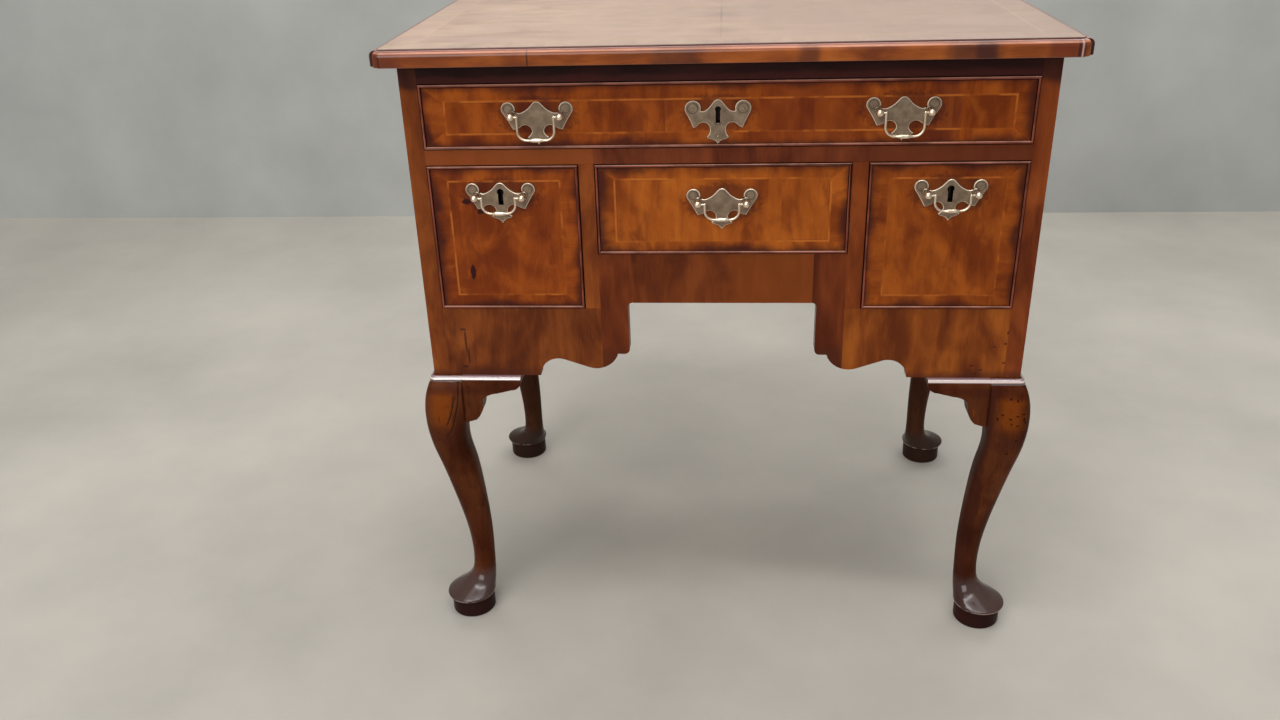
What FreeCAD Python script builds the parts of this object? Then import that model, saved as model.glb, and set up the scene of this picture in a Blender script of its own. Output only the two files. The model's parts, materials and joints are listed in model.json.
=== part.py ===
import FreeCAD, Part
import Sketcher
import math
import os
import re

from FreeCAD import Placement, Rotation, Vector

# A walnut lowboy: a small dressing table with one long drawer over three short ones, a shaped
# apron with a kneehole, and four cabriole legs. Millimetres, X to the right, Y to the back and
# Z up. The origin is on the floor under the middle of the case, and the front looks along -Y.

DRIVING = (
    ("case_width", 680, "case, across the outer faces of its side panels"),
    ("case_depth", 436, "case, front to back"),
    ("case_height", 362, "case, from the shoulders of the legs to the underside of the top"),
    ("leg_height", 349, "floor to the shoulder of a leg"),
    ("side_thickness", 19, "side panel, whose front edge is the outer stile"),
    ("side_arch_start", 122, "side panel, straight lower edge behind each leg"),
    ("side_arch_rise", 20, "side panel, rise of its lower edge between the legs"),
    ("back_thickness", 11, "back board"),
    ("back_rebate", 9, "width of the rebate in the side panels that holds the back board"),
    ("partition_thickness", 17, "upright board between two drawers"),
    ("apron_thickness", 18, "boards below the drawers"),
    ("top_rail_height", 21, "rail above the long drawer"),
    ("middle_rail_height", 17, "rail below the long drawer"),
    ("rail_depth", 60, "both rails, front to back"),
    ("long_opening_height", 70.5, "opening of the long drawer"),
    ("side_opening_height", 168, "openings of the two deep drawers"),
    ("centre_opening_height", 102.5, "opening of the shallow middle drawer"),
    ("centre_opening_width", 275, "opening of the shallow middle drawer, between partitions"),
    # The top, its moulded edge and its re-entrant corners.
    ("top_thickness", 16.5, "boards of the top under its veneer"),
    ("veneer_thickness", 1.5, "raised field of the top"),
    ("top_overhang", 24, "top beyond the front and sides of the case"),
    ("top_rear_overhang", 24, "top beyond the back of the case"),
    ("moulding_width", 22, "moulding along the edge of the top"),
    ("moulding_round", 6, "quarter round on the moulding's upper edge"),
    ("moulding_arris", 1.5, "softened lower edge of the moulding"),
    ("field_inset", 8.5, "edge of the raised field, in from the edge of the top"),
    ("corner_notch", 12, "side of the square notch at each front corner of the top"),
    ("corner_round", 8.5, "quarter round that fills the notch"),
    # The shaped apron.
    ("arch_half_width", 106, "kneehole, half its width"),
    ("arch_rise", 92.5, "top of the kneehole above the bottom of the case"),
    ("arch_corner", 5, "round in the kneehole's upper corners"),
    ("bracket_foot", 5.7, "round at the foot of each upright side of the kneehole"),
    ("step_height", 28.3, "small step beside the kneehole, above the bottom of the case"),
    ("step_end", 120.5, "outer end of the step, from the middle"),
    ("lobe_centre", 145.5, "lowest point of the lobe, from the middle"),
    ("lobe_height", 9.5, "lowest point of the lobe, above the bottom of the case"),
    ("lobe_radius", 27.2, "curve of the lobe"),
    ("cyma_slope", 20, "slope between the lobe and the hollow, degrees"),
    ("hollow_centre", 190, "highest point of the hollow, from the middle"),
    ("hollow_radius", 22, "curve of the hollow"),
    # Runners, kickers, stops and glue blocks.
    ("runner_width", 20, "runners and kickers"),
    ("runner_height", 15, "runners"),
    ("stop_length", 10, "drawer stops, front to back"),
    ("stop_height", 12, "drawer stops"),
    ("block_width", 16, "glue blocks"),
    ("block_length", 44, "glue blocks"),
    ("running_gap", 0.3, "air under a drawer and between a drawer and its stops"),
    # Drawers.
    ("drawer_gap", 0.7, "air round a drawer front"),
    ("drawer_back_room", 29, "air between the back of a drawer and the back board"),
    ("front_thickness", 22, "drawer fronts"),
    ("lining_thickness", 9, "drawer sides and backs"),
    ("lining_drop", 6, "drawer sides below the top of the opening"),
    ("bottom_thickness", 6, "drawer bottoms"),
    ("bottom_rise", 5, "drawer bottoms above the lower edge of the sides"),
    ("bottom_groove", 4, "depth of the grooves that hold a drawer bottom"),
    ("tail_length", 10, "dovetails at the front of a drawer side"),
    ("tail_share", 0.5, "dovetails, their share of a drawer side's height"),
    ("tail_flare", 1.6, "widening of a dovetail on each edge"),
    ("long_tails", 2, "dovetails on a side of the long drawer"),
    ("deep_tails", 5, "dovetails on a side of a deep drawer"),
    ("shallow_tails", 3, "dovetails on a side of the middle drawer"),
    ("cockbead_thickness", 3.2, "beading round a drawer front"),
    ("cockbead_depth", 10, "beading let into the drawer front"),
    ("cockbead_projection", 2.6, "beading proud of the drawer front"),
    # Locks.
    ("lock_width", 41, "lock case"),
    ("lock_height", 46, "lock case"),
    ("lock_depth", 9, "lock case, let into the back of the drawer front"),
    ("bolt_width", 22, "lock bolt"),
    ("bolt_thickness", 4, "lock bolt"),
    ("bolt_height", 14, "lock bolt"),
    ("bolt_travel", 6, "throw of the lock bolt"),
    ("bolt_clearance", 0.2, "air round a lock bolt"),
    ("mortise_clearance", 0.8, "air round a lock bolt in the rail above it"),
    ("mortise_depth", 9, "mortise for a lock bolt"),
    ("long_key_radius", 3.1, "round part of the long drawer's keyhole"),
    ("long_key_slot_width", 4.7, "slot of the long drawer's keyhole"),
    ("deep_key_radius", 3.8, "round part of a deep drawer's keyhole"),
    ("deep_key_slot_width", 5.6, "slot of a deep drawer's keyhole"),
    ("key_slot_length", 14.8, "from the middle of a keyhole's round part to the end of its slot"),
    ("key_drop", 29, "round part of a keyhole below the upper edge of the drawer front"),
    # Brass pulls.
    ("long_pull_spacing", 381, "between the middles of the long drawer's two pulls"),
    ("long_brass_shift", -4.5, "middle of the long drawer's brasses from the middle of the case"),
    ("long_pull_height", 38, "posts above the bottom of the long opening"),
    ("deep_pull_height", 135.6, "posts above the bottom of a deep opening"),
    ("shallow_pull_height", 61.9, "posts above the bottom of the middle opening"),
    ("deep_pull_offset", 241.5, "middle of a deep drawer's pull from the middle of the case"),
    ("plate_thickness", 1.6, "backplates and escutcheon"),
    ("plate_bevel", 1, "bevel round the edge of a plate"),
    ("post_spacing", 52, "between the two posts of a pull"),
    ("pivot_projection", 16, "pivot of a bail in front of the drawer front"),
    ("ball_radius", 4.2, "head of a post"),
    ("neck_radius", 2.2, "neck of a post"),
    ("collar_radius", 4.1, "foot of a post"),
    ("collar_height", 1.6, "foot of a post"),
    ("shank_radius", 1.6, "threaded shank of a post"),
    ("shank_clearance", 0.2, "air round a shank"),
    ("nut_width", 9, "square nut behind a drawer front"),
    ("nut_thickness", 3, "square nut"),
    ("shank_end", 1.5, "shank beyond its nut"),
    ("pin_radius", 1.15, "end of a bail, which turns in the head of its post"),
    ("pin_clearance", 0.08, "air round the end of a bail"),
    ("wire_radius", 1.35, "bail"),
    ("elbow_radius", 1.65, "small knob where a bail turns down"),
    ("long_bail_half_width", 19.6, "upright of a long drawer's bail, from the middle of the pull"),
    ("lower_bail_half_width", 18.4, "upright of a lower drawer's bail, from the middle of the pull"),
    ("long_bail_drop", 24.4, "middle of a grip below its pivot, on the long drawer"),
    ("lower_bail_drop", 17, "middle of a grip below its pivot, on the lower drawers"),
    ("bail_bend", 10, "rounded lower corner of a bail"),
    ("grip_radius", 2.4, "swelling in the middle of a bail"),
    ("grip_length", 7, "swelling at its full width"),
    ("grip_taper", 4.4, "each end of the swelling"),
    # Outline of a pull's backplate, from the middle between its posts.
    ("plate_tip_up", -33, "tip of the tail"),
    ("plate_barb_across", 4.8, "hollow beside the tip"),
    ("plate_barb_up", -28, "hollow beside the tip"),
    ("plate_jaw_across", 9.3, "lower side of the tail"),
    ("plate_jaw_up", -26.6, "lower side of the tail"),
    ("plate_cheek_across", 11.3, "outer side of the tail"),
    ("plate_cheek_up", -24.2, "outer side of the tail"),
    ("plate_waist_across", 6.5, "narrow place above the tail"),
    ("plate_waist_up", -18.7, "narrow place above the tail"),
    ("plate_scoop_across", 13.5, "top of the scoop beside the tail"),
    ("plate_scoop_up", -11.7, "top of the scoop beside the tail"),
    ("plate_rise_across", 18.8, "outer side of the scoop"),
    ("plate_rise_up", -14.1, "outer side of the scoop"),
    ("plate_point_across", 26.5, "point under a wing"),
    ("plate_point_up", -16.7, "point under a wing"),
    ("plate_flank_across", 37.3, "lower end of a wing's round"),
    ("plate_flank_up", 1.6, "lower end of a wing's round"),
    ("plate_wing_across", 30.8, "top of a wing's round"),
    ("plate_wing_up", 12.8, "top of a wing's round"),
    ("plate_dip_across", 23.7, "inner end of a wing's round"),
    ("plate_dip_up", 2.7, "inner end of a wing's round"),
    ("plate_saddle_across", 17, "hollow beside the wing"),
    ("plate_saddle_up", 1.6, "hollow beside the wing"),
    ("plate_slope_across", 9, "side of the crown"),
    ("plate_slope_up", 6.4, "side of the crown"),
    ("plate_crown_across", 4.5, "end of the curve at the top"),
    ("plate_crown_up", 11.2, "end of the curve at the top"),
    # Outline of the long drawer's escutcheon, from the middle of its keyhole.
    ("scutcheon_tip_up", -36.9, "tip of the tail"),
    ("scutcheon_barb_across", 4.8, "hollow beside the tip"),
    ("scutcheon_barb_up", -32.5, "hollow beside the tip"),
    ("scutcheon_jaw_across", 9.4, "lower side of the tail"),
    ("scutcheon_jaw_up", -31.3, "lower side of the tail"),
    ("scutcheon_cheek_across", 11.4, "outer side of the tail"),
    ("scutcheon_cheek_up", -28.8, "outer side of the tail"),
    ("scutcheon_waist_across", 8.3, "narrow place above the tail"),
    ("scutcheon_waist_up", -21.5, "narrow place above the tail"),
    ("scutcheon_scoop_across", 15.1, "top of the scoop beside the tail"),
    ("scutcheon_scoop_up", -14, "top of the scoop beside the tail"),
    ("scutcheon_rise_across", 20.4, "outer side of the scoop"),
    ("scutcheon_rise_up", -16.4, "outer side of the scoop"),
    ("scutcheon_point_across", 25.8, "point under a wing"),
    ("scutcheon_point_up", -19.9, "point under a wing"),
    ("scutcheon_flank_across", 33.5, "lower end of a wing's round"),
    ("scutcheon_flank_up", -3.8, "lower end of a wing's round"),
    ("scutcheon_wing_across", 26.1, "top of a wing's round"),
    ("scutcheon_wing_up", 9.1, "top of a wing's round"),
    ("scutcheon_dip_across", 18.2, "inner end of a wing's round"),
    ("scutcheon_dip_up", -1.6, "inner end of a wing's round"),
    ("scutcheon_saddle_across", 13, "hollow beside the wing"),
    ("scutcheon_saddle_up", -1.2, "hollow beside the wing"),
    ("scutcheon_slope_across", 8.6, "side of the crown"),
    ("scutcheon_slope_up", 2.7, "side of the crown"),
    ("scutcheon_crown_across", 4.3, "end of the curve at the top"),
    ("scutcheon_crown_up", 8.1, "end of the curve at the top"),
    # How far the edge of either plate turns on the way to each of these places, in degrees.
    ("barb_bend", 35, "turn of a plate's edge"),
    ("cheek_bend", 70, "turn of a plate's edge"),
    ("waist_bend", 45, "turn of a plate's edge"),
    ("scoop_bend", 90, "turn of a plate's edge"),
    ("rise_bend", 48, "turn of a plate's edge"),
    ("point_bend", 20, "turn of a plate's edge"),
    ("flank_bend", 8, "turn of a plate's edge"),
    ("wing_bend", 120, "turn of a plate's edge"),
    ("dip_bend", 110, "turn of a plate's edge"),
    ("saddle_bend", 55, "turn of a plate's edge"),
    ("slope_bend", 20, "turn of a plate's edge"),
    ("crown_bend", 100, "turn of a plate's edge"),
    ("scutcheon_pin_across", 26.5, "upper pins"),
    ("scutcheon_pin_drop", 0.3, "upper pins"),
    ("scutcheon_tail_pin_drop", 28.8, "lower pin"),
    ("pin_head_radius", 1.7, "escutcheon pin"),
    ("pin_head_height", 0.9, "escutcheon pin"),
    ("pin_shank_radius", 0.8, "escutcheon pin"),
    ("pin_shank_length", 9, "escutcheon pin"),
    # The legs. At each level a leg reaches out past the case, or stays inside it, where the
    # number is negative, and its inner face stands in from the outer face of the case.
    ("ledge_thickness", 6.5, "straight ledge round the shoulder of a leg"),
    ("ledge_reach", 6.5, "ledge, and the faces of the ears beside it"),
    ("ledge_inner", 38, "under the ledge"),
    ("ledge_corner", 7, "rounded upright corner of the ledge"),
    ("ledge_round", 5.3, "rounded upper edge of the ledge and of the ears"),
    ("upper_knee_drop", 29, "upper part of the knee, below the shoulder"),
    ("upper_knee_reach", 14.2, "upper part of the knee"),
    ("upper_knee_inner", 38.5, "upper part of the knee"),
    ("knee_drop", 57, "fullest part of the knee, below the shoulder"),
    ("knee_reach", 16.6, "fullest part of the knee"),
    ("knee_inner", 33.6, "fullest part of the knee"),
    ("lower_knee_drop", 87, "end of the knee, below the shoulder"),
    ("lower_knee_reach", 13.7, "end of the knee"),
    ("lower_knee_inner", 31, "end of the knee"),
    ("calf_drop", 134, "calf, below the shoulder"),
    ("calf_reach", 4.5, "calf"),
    ("calf_inner", 37.1, "calf"),
    ("shin_share", 0.357, "shin, its share of the way from the calf to the ankle"),
    ("shin_reach", -4.7, "shin"),
    ("shin_inner", 41, "shin"),
    ("lower_shin_share", 0.693, "lower part of the shin, its share of the same way"),
    ("lower_shin_reach", -11.9, "lower part of the shin"),
    ("lower_shin_inner", 43.1, "lower part of the shin"),
    ("ankle_height", 75, "ankle"),
    ("ankle_reach", -14.9, "ankle"),
    ("ankle_inner", 42.6, "ankle"),
    ("heel_height", 55, "above the heel"),
    ("heel_reach", -13.2, "above the heel"),
    ("heel_inner", 42.3, "above the heel"),
    ("instep_height", 38, "instep"),
    ("instep_reach", -4.5, "instep"),
    ("instep_inner", 42.3, "instep"),
    ("toe_height", 22, "upper side of the pad foot"),
    ("toe_reach", 18, "upper side of the pad foot"),
    ("toe_inner", 42.6, "upper side of the pad foot"),
    ("rim_height", 12, "flat underside of the pad foot"),
    ("rim_reach", 20.5, "rim of the pad foot"),
    ("rim_inner", 43.6, "rim of the pad foot"),
    ("knee_squareness", 3.4, "power of the section's curve at the knee, 2 being round"),
    ("ledge_squareness", 6, "power of the section's curve under the ledge"),
    ("shoe_radius", 27.7, "disc under a foot"),
    ("shoe_inset", 12.4, "middle of the disc, in from both faces of the case"),
    ("shoe_bevel", 1.5, "edges of the disc"),
    ("back_leg_lean", 6.5, "feet of the back legs further in than those of the front ones"),
    ("post_size", 38, "square post of a leg inside the case"),
    ("knee_block", 33, "inner faces of a leg's head, in from the outer faces of the case"),
    ("knee_block_outer", 2, "outer faces of a leg's head, out from the case"),
    ("knee_block_drop", 60, "head of a leg below the shoulder"),
    # The ears beside the knees.
    ("ear_thickness", 24, "ear, front to back"),
    ("ear_end", 104, "tip of an ear, in from the corner of the case"),
    ("ear_end_drop", 5.5, "straight end of an ear"),
    ("ear_bend", 12, "round under the tip of an ear"),
    ("ear_mid_drop", 22, "lower edge of an ear's long part, below the shoulder"),
    ("ear_mid_end", 74, "end of the lower edge of an ear's long part, in from the corner"),
    ("ear_hollow", 57, "end of the hollow beside the cusp, in from the corner"),
    ("ear_hollow_drop", 29, "end of the hollow beside the cusp"),
    ("ear_hollow_bend", 38, "turn of the edge in the hollow, degrees"),
    ("ear_side", 55.5, "upright side of an ear's lower part, in from the corner"),
    ("ear_side_drop", 40, "lower end of the upright side"),
    ("ear_heel", 46.5, "step at the lower end of an ear, in from the corner"),
    ("ear_heel_drop", 57.5, "step at the lower end of an ear"),
    ("ear_lobe_bend", 42, "turn of the edge along the lower curve, degrees"),
    ("ear_foot_drop", 61.5, "lowest point of an ear"),
)

# Sizes that follow from the others, because their pieces fit between them.
FOLLOWING = (
    ("drawer_length", "=case_depth - back_thickness - drawer_back_room",
     "front face to back of a drawer"),
)

doc = FreeCAD.newDocument("lowboy")
sheet = doc.addObject("Spreadsheet::Sheet", "sizes")
for row, (alias, number, note) in enumerate(DRIVING + FOLLOWING, start=1):
    sheet.set(f"A{row}", note)
    sheet.set(f"B{row}", str(number))
    sheet.setAlias(f"B{row}", alias)
doc.recompute()

ALIASES = {alias for alias, number, note in DRIVING + FOLLOWING}
pieces = []


# Formulas. A formula is written with the bare names of the sizes.

def bound(formula):
    """The formula as another object of the document has to write it."""
    def in_sheet(word):
        return f"sizes.{word.group()}" if word.group() in ALIASES else word.group()
    return re.sub(r"[a-z_]+", in_sheet, str(formula))


def value(formula):
    """What the formula comes to."""
    result = sheet.evalExpression(str(formula))
    return float(getattr(result, "Value", result))


def bind(thing, **formulas):
    """Tie properties of an object to formulas."""
    for name, formula in formulas.items():
        thing.setExpression(name, bound(formula))


def place(thing, across="0", back="0", up="0"):
    """Tie the place of an object to formulas."""
    thing.setExpression(".Placement.Base.x", bound(across))
    thing.setExpression(".Placement.Base.y", bound(back))
    thing.setExpression(".Placement.Base.z", bound(up))


# Levels and faces that the pieces share.

FRONT = "(-case_depth / 2)"
BACK = f"({FRONT} + case_depth)"
BACK_IN = f"({BACK} - back_thickness)"
APRON_BACK = f"({FRONT} + apron_thickness)"
RAIL_BACK = f"({FRONT} + rail_depth)"
SIDE_OUT = "(case_width / 2)"
SIDE_IN = "(case_width / 2 - side_thickness)"
PARTITION_IN = "(centre_opening_width / 2)"
PARTITION_OUT = "(centre_opening_width / 2 + partition_thickness)"
CASE_TOP = "(leg_height + case_height)"
LONG_TOP = f"({CASE_TOP} - top_rail_height)"
LONG_BOTTOM = f"({LONG_TOP} - long_opening_height)"
LOWER_TOP = f"({LONG_BOTTOM} - middle_rail_height)"
SIDE_BOTTOM = f"({LOWER_TOP} - side_opening_height)"
CENTRE_BOTTOM = f"({LOWER_TOP} - centre_opening_height)"
ARCH_TOP = "(leg_height + arch_rise)"
RUNNER_UNDER = f"({SIDE_BOTTOM} - runner_height)"
DRAWER_BACK = f"({FRONT} + drawer_length)"
TOP_SIDE = "(case_width / 2 + top_overhang)"
TOP_FRONT = f"({FRONT} - top_overhang)"
TOP_BACK = f"({BACK} + top_rear_overhang)"
TOP_FACE = f"({CASE_TOP} + top_thickness)"


# Ways of making a piece.

def keep(thing, label):
    """Make an object one of the lowboy's own pieces."""
    thing.Label = label
    pieces.append(thing)
    return thing


def block(name, across, back, up):
    """A squared board between pairs of formulas."""
    board = doc.addObject("Part::Box", name)
    bind(board, Length=f"({across[1]}) - ({across[0]})", Width=f"({back[1]}) - ({back[0]})",
         Height=f"({up[1]}) - ({up[0]})")
    place(board, across[0], back[0], up[0])
    return board


def rod(name, radius, start, length, along):
    """A cylinder from a start, given as three formulas, along X, Y or Z."""
    turned = doc.addObject("Part::Cylinder", name)
    bind(turned, Radius=radius, Height=length)
    turned.Placement = Placement(Vector(), Rotation(Vector(0, 0, 1), along))
    place(turned, *start)
    return turned


def ball(name, radius, middle):
    """A sphere about three formulas."""
    turned = doc.addObject("Part::Sphere", name)
    bind(turned, Radius=radius)
    place(turned, *middle)
    return turned


def cut(base, *tools):
    """Take tools out of a base, one after another."""
    for tool in tools:
        result = doc.addObject("Part::Cut", f"{base.Name}_cut")
        result.Base = base
        result.Tool = tool
        base = result
    return base


def fuse(name, *parts):
    """Join solids into one."""
    joined = doc.addObject("Part::MultiFuse", name)
    joined.Shapes = list(parts)
    joined.Refine = True
    return joined


def group(name, *parts):
    """Solids that stay apart but share a node."""
    together = doc.addObject("Part::Compound", name)
    together.Links = list(parts)
    return together


def mirrored(name, source, normal=Vector(1, 0, 0)):
    """A copy on the other side of the middle."""
    copy = doc.addObject("Part::Mirroring", name)
    copy.Source = source
    copy.Base = Vector(0, 0, 0)
    copy.Normal = normal
    return copy


def arc_between(start, end, bend):
    """The arc between two points that turns by so many degrees, to the left if positive."""
    chord = end - start
    half = math.radians(abs(bend)) / 2
    side = Vector(-chord.y, chord.x, 0) * math.copysign(0.5 / math.tan(half), bend)
    middle = (start + end) * 0.5 + side
    first = start if bend > 0 else end
    begin = math.atan2(first.y - middle.y, first.x - middle.x)
    circle = Part.Circle(middle, Vector(0, 0, 1), (start - middle).Length)
    return Part.ArcOfCircle(circle, begin, begin + 2 * half)


def draw(sketch, steps):
    """Draw a closed outline and tie every corner and curve of it to formulas.

    A step is (x, y) for a straight edge that ends there, or (x, y, turn, bend) for an arc that
    turns by the bend, in degrees, to the left where the turn is 1 and to the right where it is -1.
    """
    corners = [Vector(value(step[0]), value(step[1]), 0) for step in steps]
    edges = []
    ends = []
    marks = []
    for number, step in enumerate(steps):
        start, end = corners[number - 1], corners[number]
        turn, bend = step[2:] if len(step) > 2 else (1, None)
        ends.append((1, 2) if turn > 0 else (2, 1))
        if bend is None:
            edges.append(Part.LineSegment(start, end))
        else:
            edges.append(arc_between(start, end, turn * value(bend)))
            marks.append(("Angle", (number,), math.radians(value(bend)), bend))
        marks.append(("DistanceX", (-1, 1, number, ends[number][1]), end.x, step[0]))
        marks.append(("DistanceY", (-1, 1, number, ends[number][1]), end.y, step[1]))
    sketch.addGeometry(edges)
    meetings = [Sketcher.Constraint("Coincident", number - 1 if number else len(steps) - 1,
                                    ends[number - 1][1], number, ends[number][0])
                for number in range(len(steps))]
    sketch.addConstraint([Sketcher.Constraint(kind, *where, now) for kind, where, now, formula in marks]
                         + meetings)
    for number, (kind, where, now, formula) in enumerate(marks):
        unit = " * 1 deg" if kind == "Angle" else ""
        sketch.setExpression(f"Constraints[{number}]", bound(f"({formula}){unit}"))


def board(name, role, steps, start, thickness):
    """A body sawn to an outline on one of its planes, and as thick as a formula says.

    It grows from the start along +X on the YZ plane, -Y on the XZ plane and +Z on the XY plane.
    """
    body = doc.addObject("PartDesign::Body", name)
    sketch = body.newObject("Sketcher::SketchObject", f"{name}_outline")
    plane = [feature for feature in body.Origin.OriginFeatures if feature.Role == role][0]
    sketch.AttachmentSupport = [(plane, "")]
    sketch.MapMode = "FlatFace"
    lift = f"-({start})" if role == "XZ_Plane" else start
    sketch.setExpression(".AttachmentOffset.Base.z", bound(lift))
    draw(sketch, steps)
    pad = body.newObject("PartDesign::Pad", f"{name}_pad")
    pad.Profile = sketch
    bind(pad, Length=thickness)
    return body


def soften(body, kind, size, chosen):
    """Round or bevel the edges of a body that a test chooses."""
    doc.recompute([body])
    base = body.Tip
    names = [f"Edge{number}" for number, edge in enumerate(base.Shape.Edges, start=1)
             if chosen(edge)]
    dressing = body.newObject(f"PartDesign::{kind}", f"{body.Name}_{kind.lower()}")
    dressing.Base = (base, names)
    bind(dressing, **{"Radius" if kind == "Fillet" else "Size": size})
    body.Tip = dressing
    return body


def lies_at(edge, axis, level):
    """Whether a whole edge lies at one level along X, Y or Z."""
    box = edge.BoundBox
    low = (box.XMin, box.YMin, box.ZMin)["XYZ".index(axis)]
    high = (box.XMax, box.YMax, box.ZMax)["XYZ".index(axis)]
    return abs(low - level) < 1e-4 and abs(high - level) < 1e-4


# The carcass.

def rails():
    """The two rails above and below the long drawer, mortised for the lock bolts."""
    top_rail = block("top_rail_board", (f"-{SIDE_IN}", SIDE_IN), (FRONT, RAIL_BACK),
                     (LONG_TOP, CASE_TOP))
    middle_rail = block("middle_rail_board", (f"-{SIDE_IN}", SIDE_IN), (FRONT, RAIL_BACK),
                        (LOWER_TOP, LONG_BOTTOM))
    long_mortise = mortise("long_mortise", "long_brass_shift", LONG_TOP)
    left_mortise = mortise("left_mortise", "-deep_pull_offset", LOWER_TOP)
    right_mortise = mortise("right_mortise", "deep_pull_offset", LOWER_TOP)
    keep(cut(top_rail, long_mortise), "top_rail")
    keep(cut(middle_rail, left_mortise, right_mortise), "middle_rail")


def mortise(name, middle, level):
    """The hole in a rail's underside that a lock bolt rises into."""
    half = "(bolt_width / 2 + mortise_clearance)"
    bolt_back = f"({FRONT} + front_thickness - lock_depth / 2 + bolt_thickness / 2)"
    bolt_front = f"({bolt_back} - bolt_thickness)"
    return block(name, (f"{middle} - {half}", f"{middle} + {half}"),
                 (f"{bolt_front} - mortise_clearance", f"{bolt_back} + mortise_clearance"),
                 (level, f"{level} + mortise_depth"))


def back_and_sides():
    """The back board in the rebates of the two side panels."""
    back = keep(block("back_board", (f"-({SIDE_IN} + back_rebate)", f"{SIDE_IN} + back_rebate"),
                      (BACK_IN, BACK), ("leg_height", CASE_TOP)), "back_board")
    low = "leg_height"
    high = "leg_height + side_arch_rise"
    near = f"{FRONT} + side_arch_start"
    far = f"{BACK} - side_arch_start"
    outline = (
        (FRONT, low),
        (near, low),
        (f"{near} + side_arch_rise", high, -1, 90),
        (f"{far} - side_arch_rise", high),
        (far, low, -1, 90),
        (BACK, low),
        (BACK, CASE_TOP),
        (FRONT, CASE_TOP),
    )
    panel = board("side_panel_board", "YZ_Plane", outline, SIDE_IN, "side_thickness")
    right = keep(cut(panel, back), "right_side_panel")
    keep(mirrored("left_side_panel", right), "left_side_panel")


def partitions():
    """The upright boards beside the middle drawer, notched over the aprons."""
    outline = (
        (FRONT, SIDE_BOTTOM),
        (APRON_BACK, SIDE_BOTTOM),
        (APRON_BACK, RUNNER_UNDER),
        (BACK_IN, RUNNER_UNDER),
        (BACK_IN, LOWER_TOP),
        (FRONT, LOWER_TOP),
    )
    right = board("right_partition", "YZ_Plane", outline, PARTITION_IN, "partition_thickness")
    keep(right, "right_partition")
    keep(mirrored("left_partition", right), "left_partition")


def lobe_share(across):
    """How far a place is from the middle of the lobe, as a share of its radius."""
    return f"(lobe_centre - {across}) / lobe_radius"


def aprons():
    """The shaped boards under the drawers, with the kneehole between their brackets."""
    bottom = "leg_height"
    lobe_middle = "(leg_height + lobe_height + lobe_radius)"
    slope_x = "sin(cyma_slope)"
    slope_z = "cos(cyma_slope)"
    lobe_end = (f"lobe_centre + lobe_radius * {slope_x}", f"{lobe_middle} - lobe_radius * {slope_z}")
    hollow_start = (f"hollow_centre - hollow_radius * {slope_x}",
                    f"{bottom} + hollow_radius * {slope_z}")
    joint_level = (f"{lobe_middle} - sqrt(lobe_radius ^ 2 - (lobe_centre - {PARTITION_IN}) ^ 2)")
    step_level = "(leg_height + step_height)"
    lobe_side = f"{lobe_middle} - sqrt(lobe_radius ^ 2 - (lobe_centre - step_end) ^ 2)"
    apron = (
        (PARTITION_IN, SIDE_BOTTOM),
        (PARTITION_IN, joint_level),
        (*lobe_end, 1, "cyma_slope + asin(" + lobe_share(PARTITION_IN) + ") / 1 deg"),
        hollow_start,
        ("hollow_centre + hollow_radius", bottom, -1, "90 + cyma_slope"),
        (SIDE_IN, bottom),
        (SIDE_IN, SIDE_BOTTOM),
    )
    right = board("right_apron", "XZ_Plane", apron, APRON_BACK, "apron_thickness")
    keep(right, "right_apron")
    keep(mirrored("left_apron", right), "left_apron")
    bracket = (
        (PARTITION_IN, CENTRE_BOTTOM),
        ("arch_half_width - arch_corner", CENTRE_BOTTOM),
        ("arch_half_width - arch_corner", ARCH_TOP),
        ("arch_half_width", f"{ARCH_TOP} - arch_corner", -1, 90),
        ("arch_half_width", f"{step_level} + bracket_foot"),
        ("arch_half_width + bracket_foot", step_level, 1, 90),
        ("step_end", step_level),
        ("step_end", lobe_side),
        (PARTITION_IN, joint_level, 1,
         f"(asin({lobe_share('step_end')}) - asin({lobe_share(PARTITION_IN)})) / 1 deg"),
    )
    right_bracket = board("right_arch_bracket", "XZ_Plane", bracket, APRON_BACK, "apron_thickness")
    left_bracket = mirrored("left_arch_bracket", right_bracket)
    keep(group("arch_brackets", right_bracket, left_bracket), "arch_brackets")
    edge = "(arch_half_width - arch_corner)"
    keep(block("centre_apron", (f"-{edge}", edge), (FRONT, APRON_BACK),
               (ARCH_TOP, CENTRE_BOTTOM)), "centre_apron")


def both_sides(name, across, back, up):
    """A block on the right and its mirror image on the left."""
    right = block(f"right_{name}", across, back, up)
    return [right, mirrored(f"left_{name}", right)]


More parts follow.
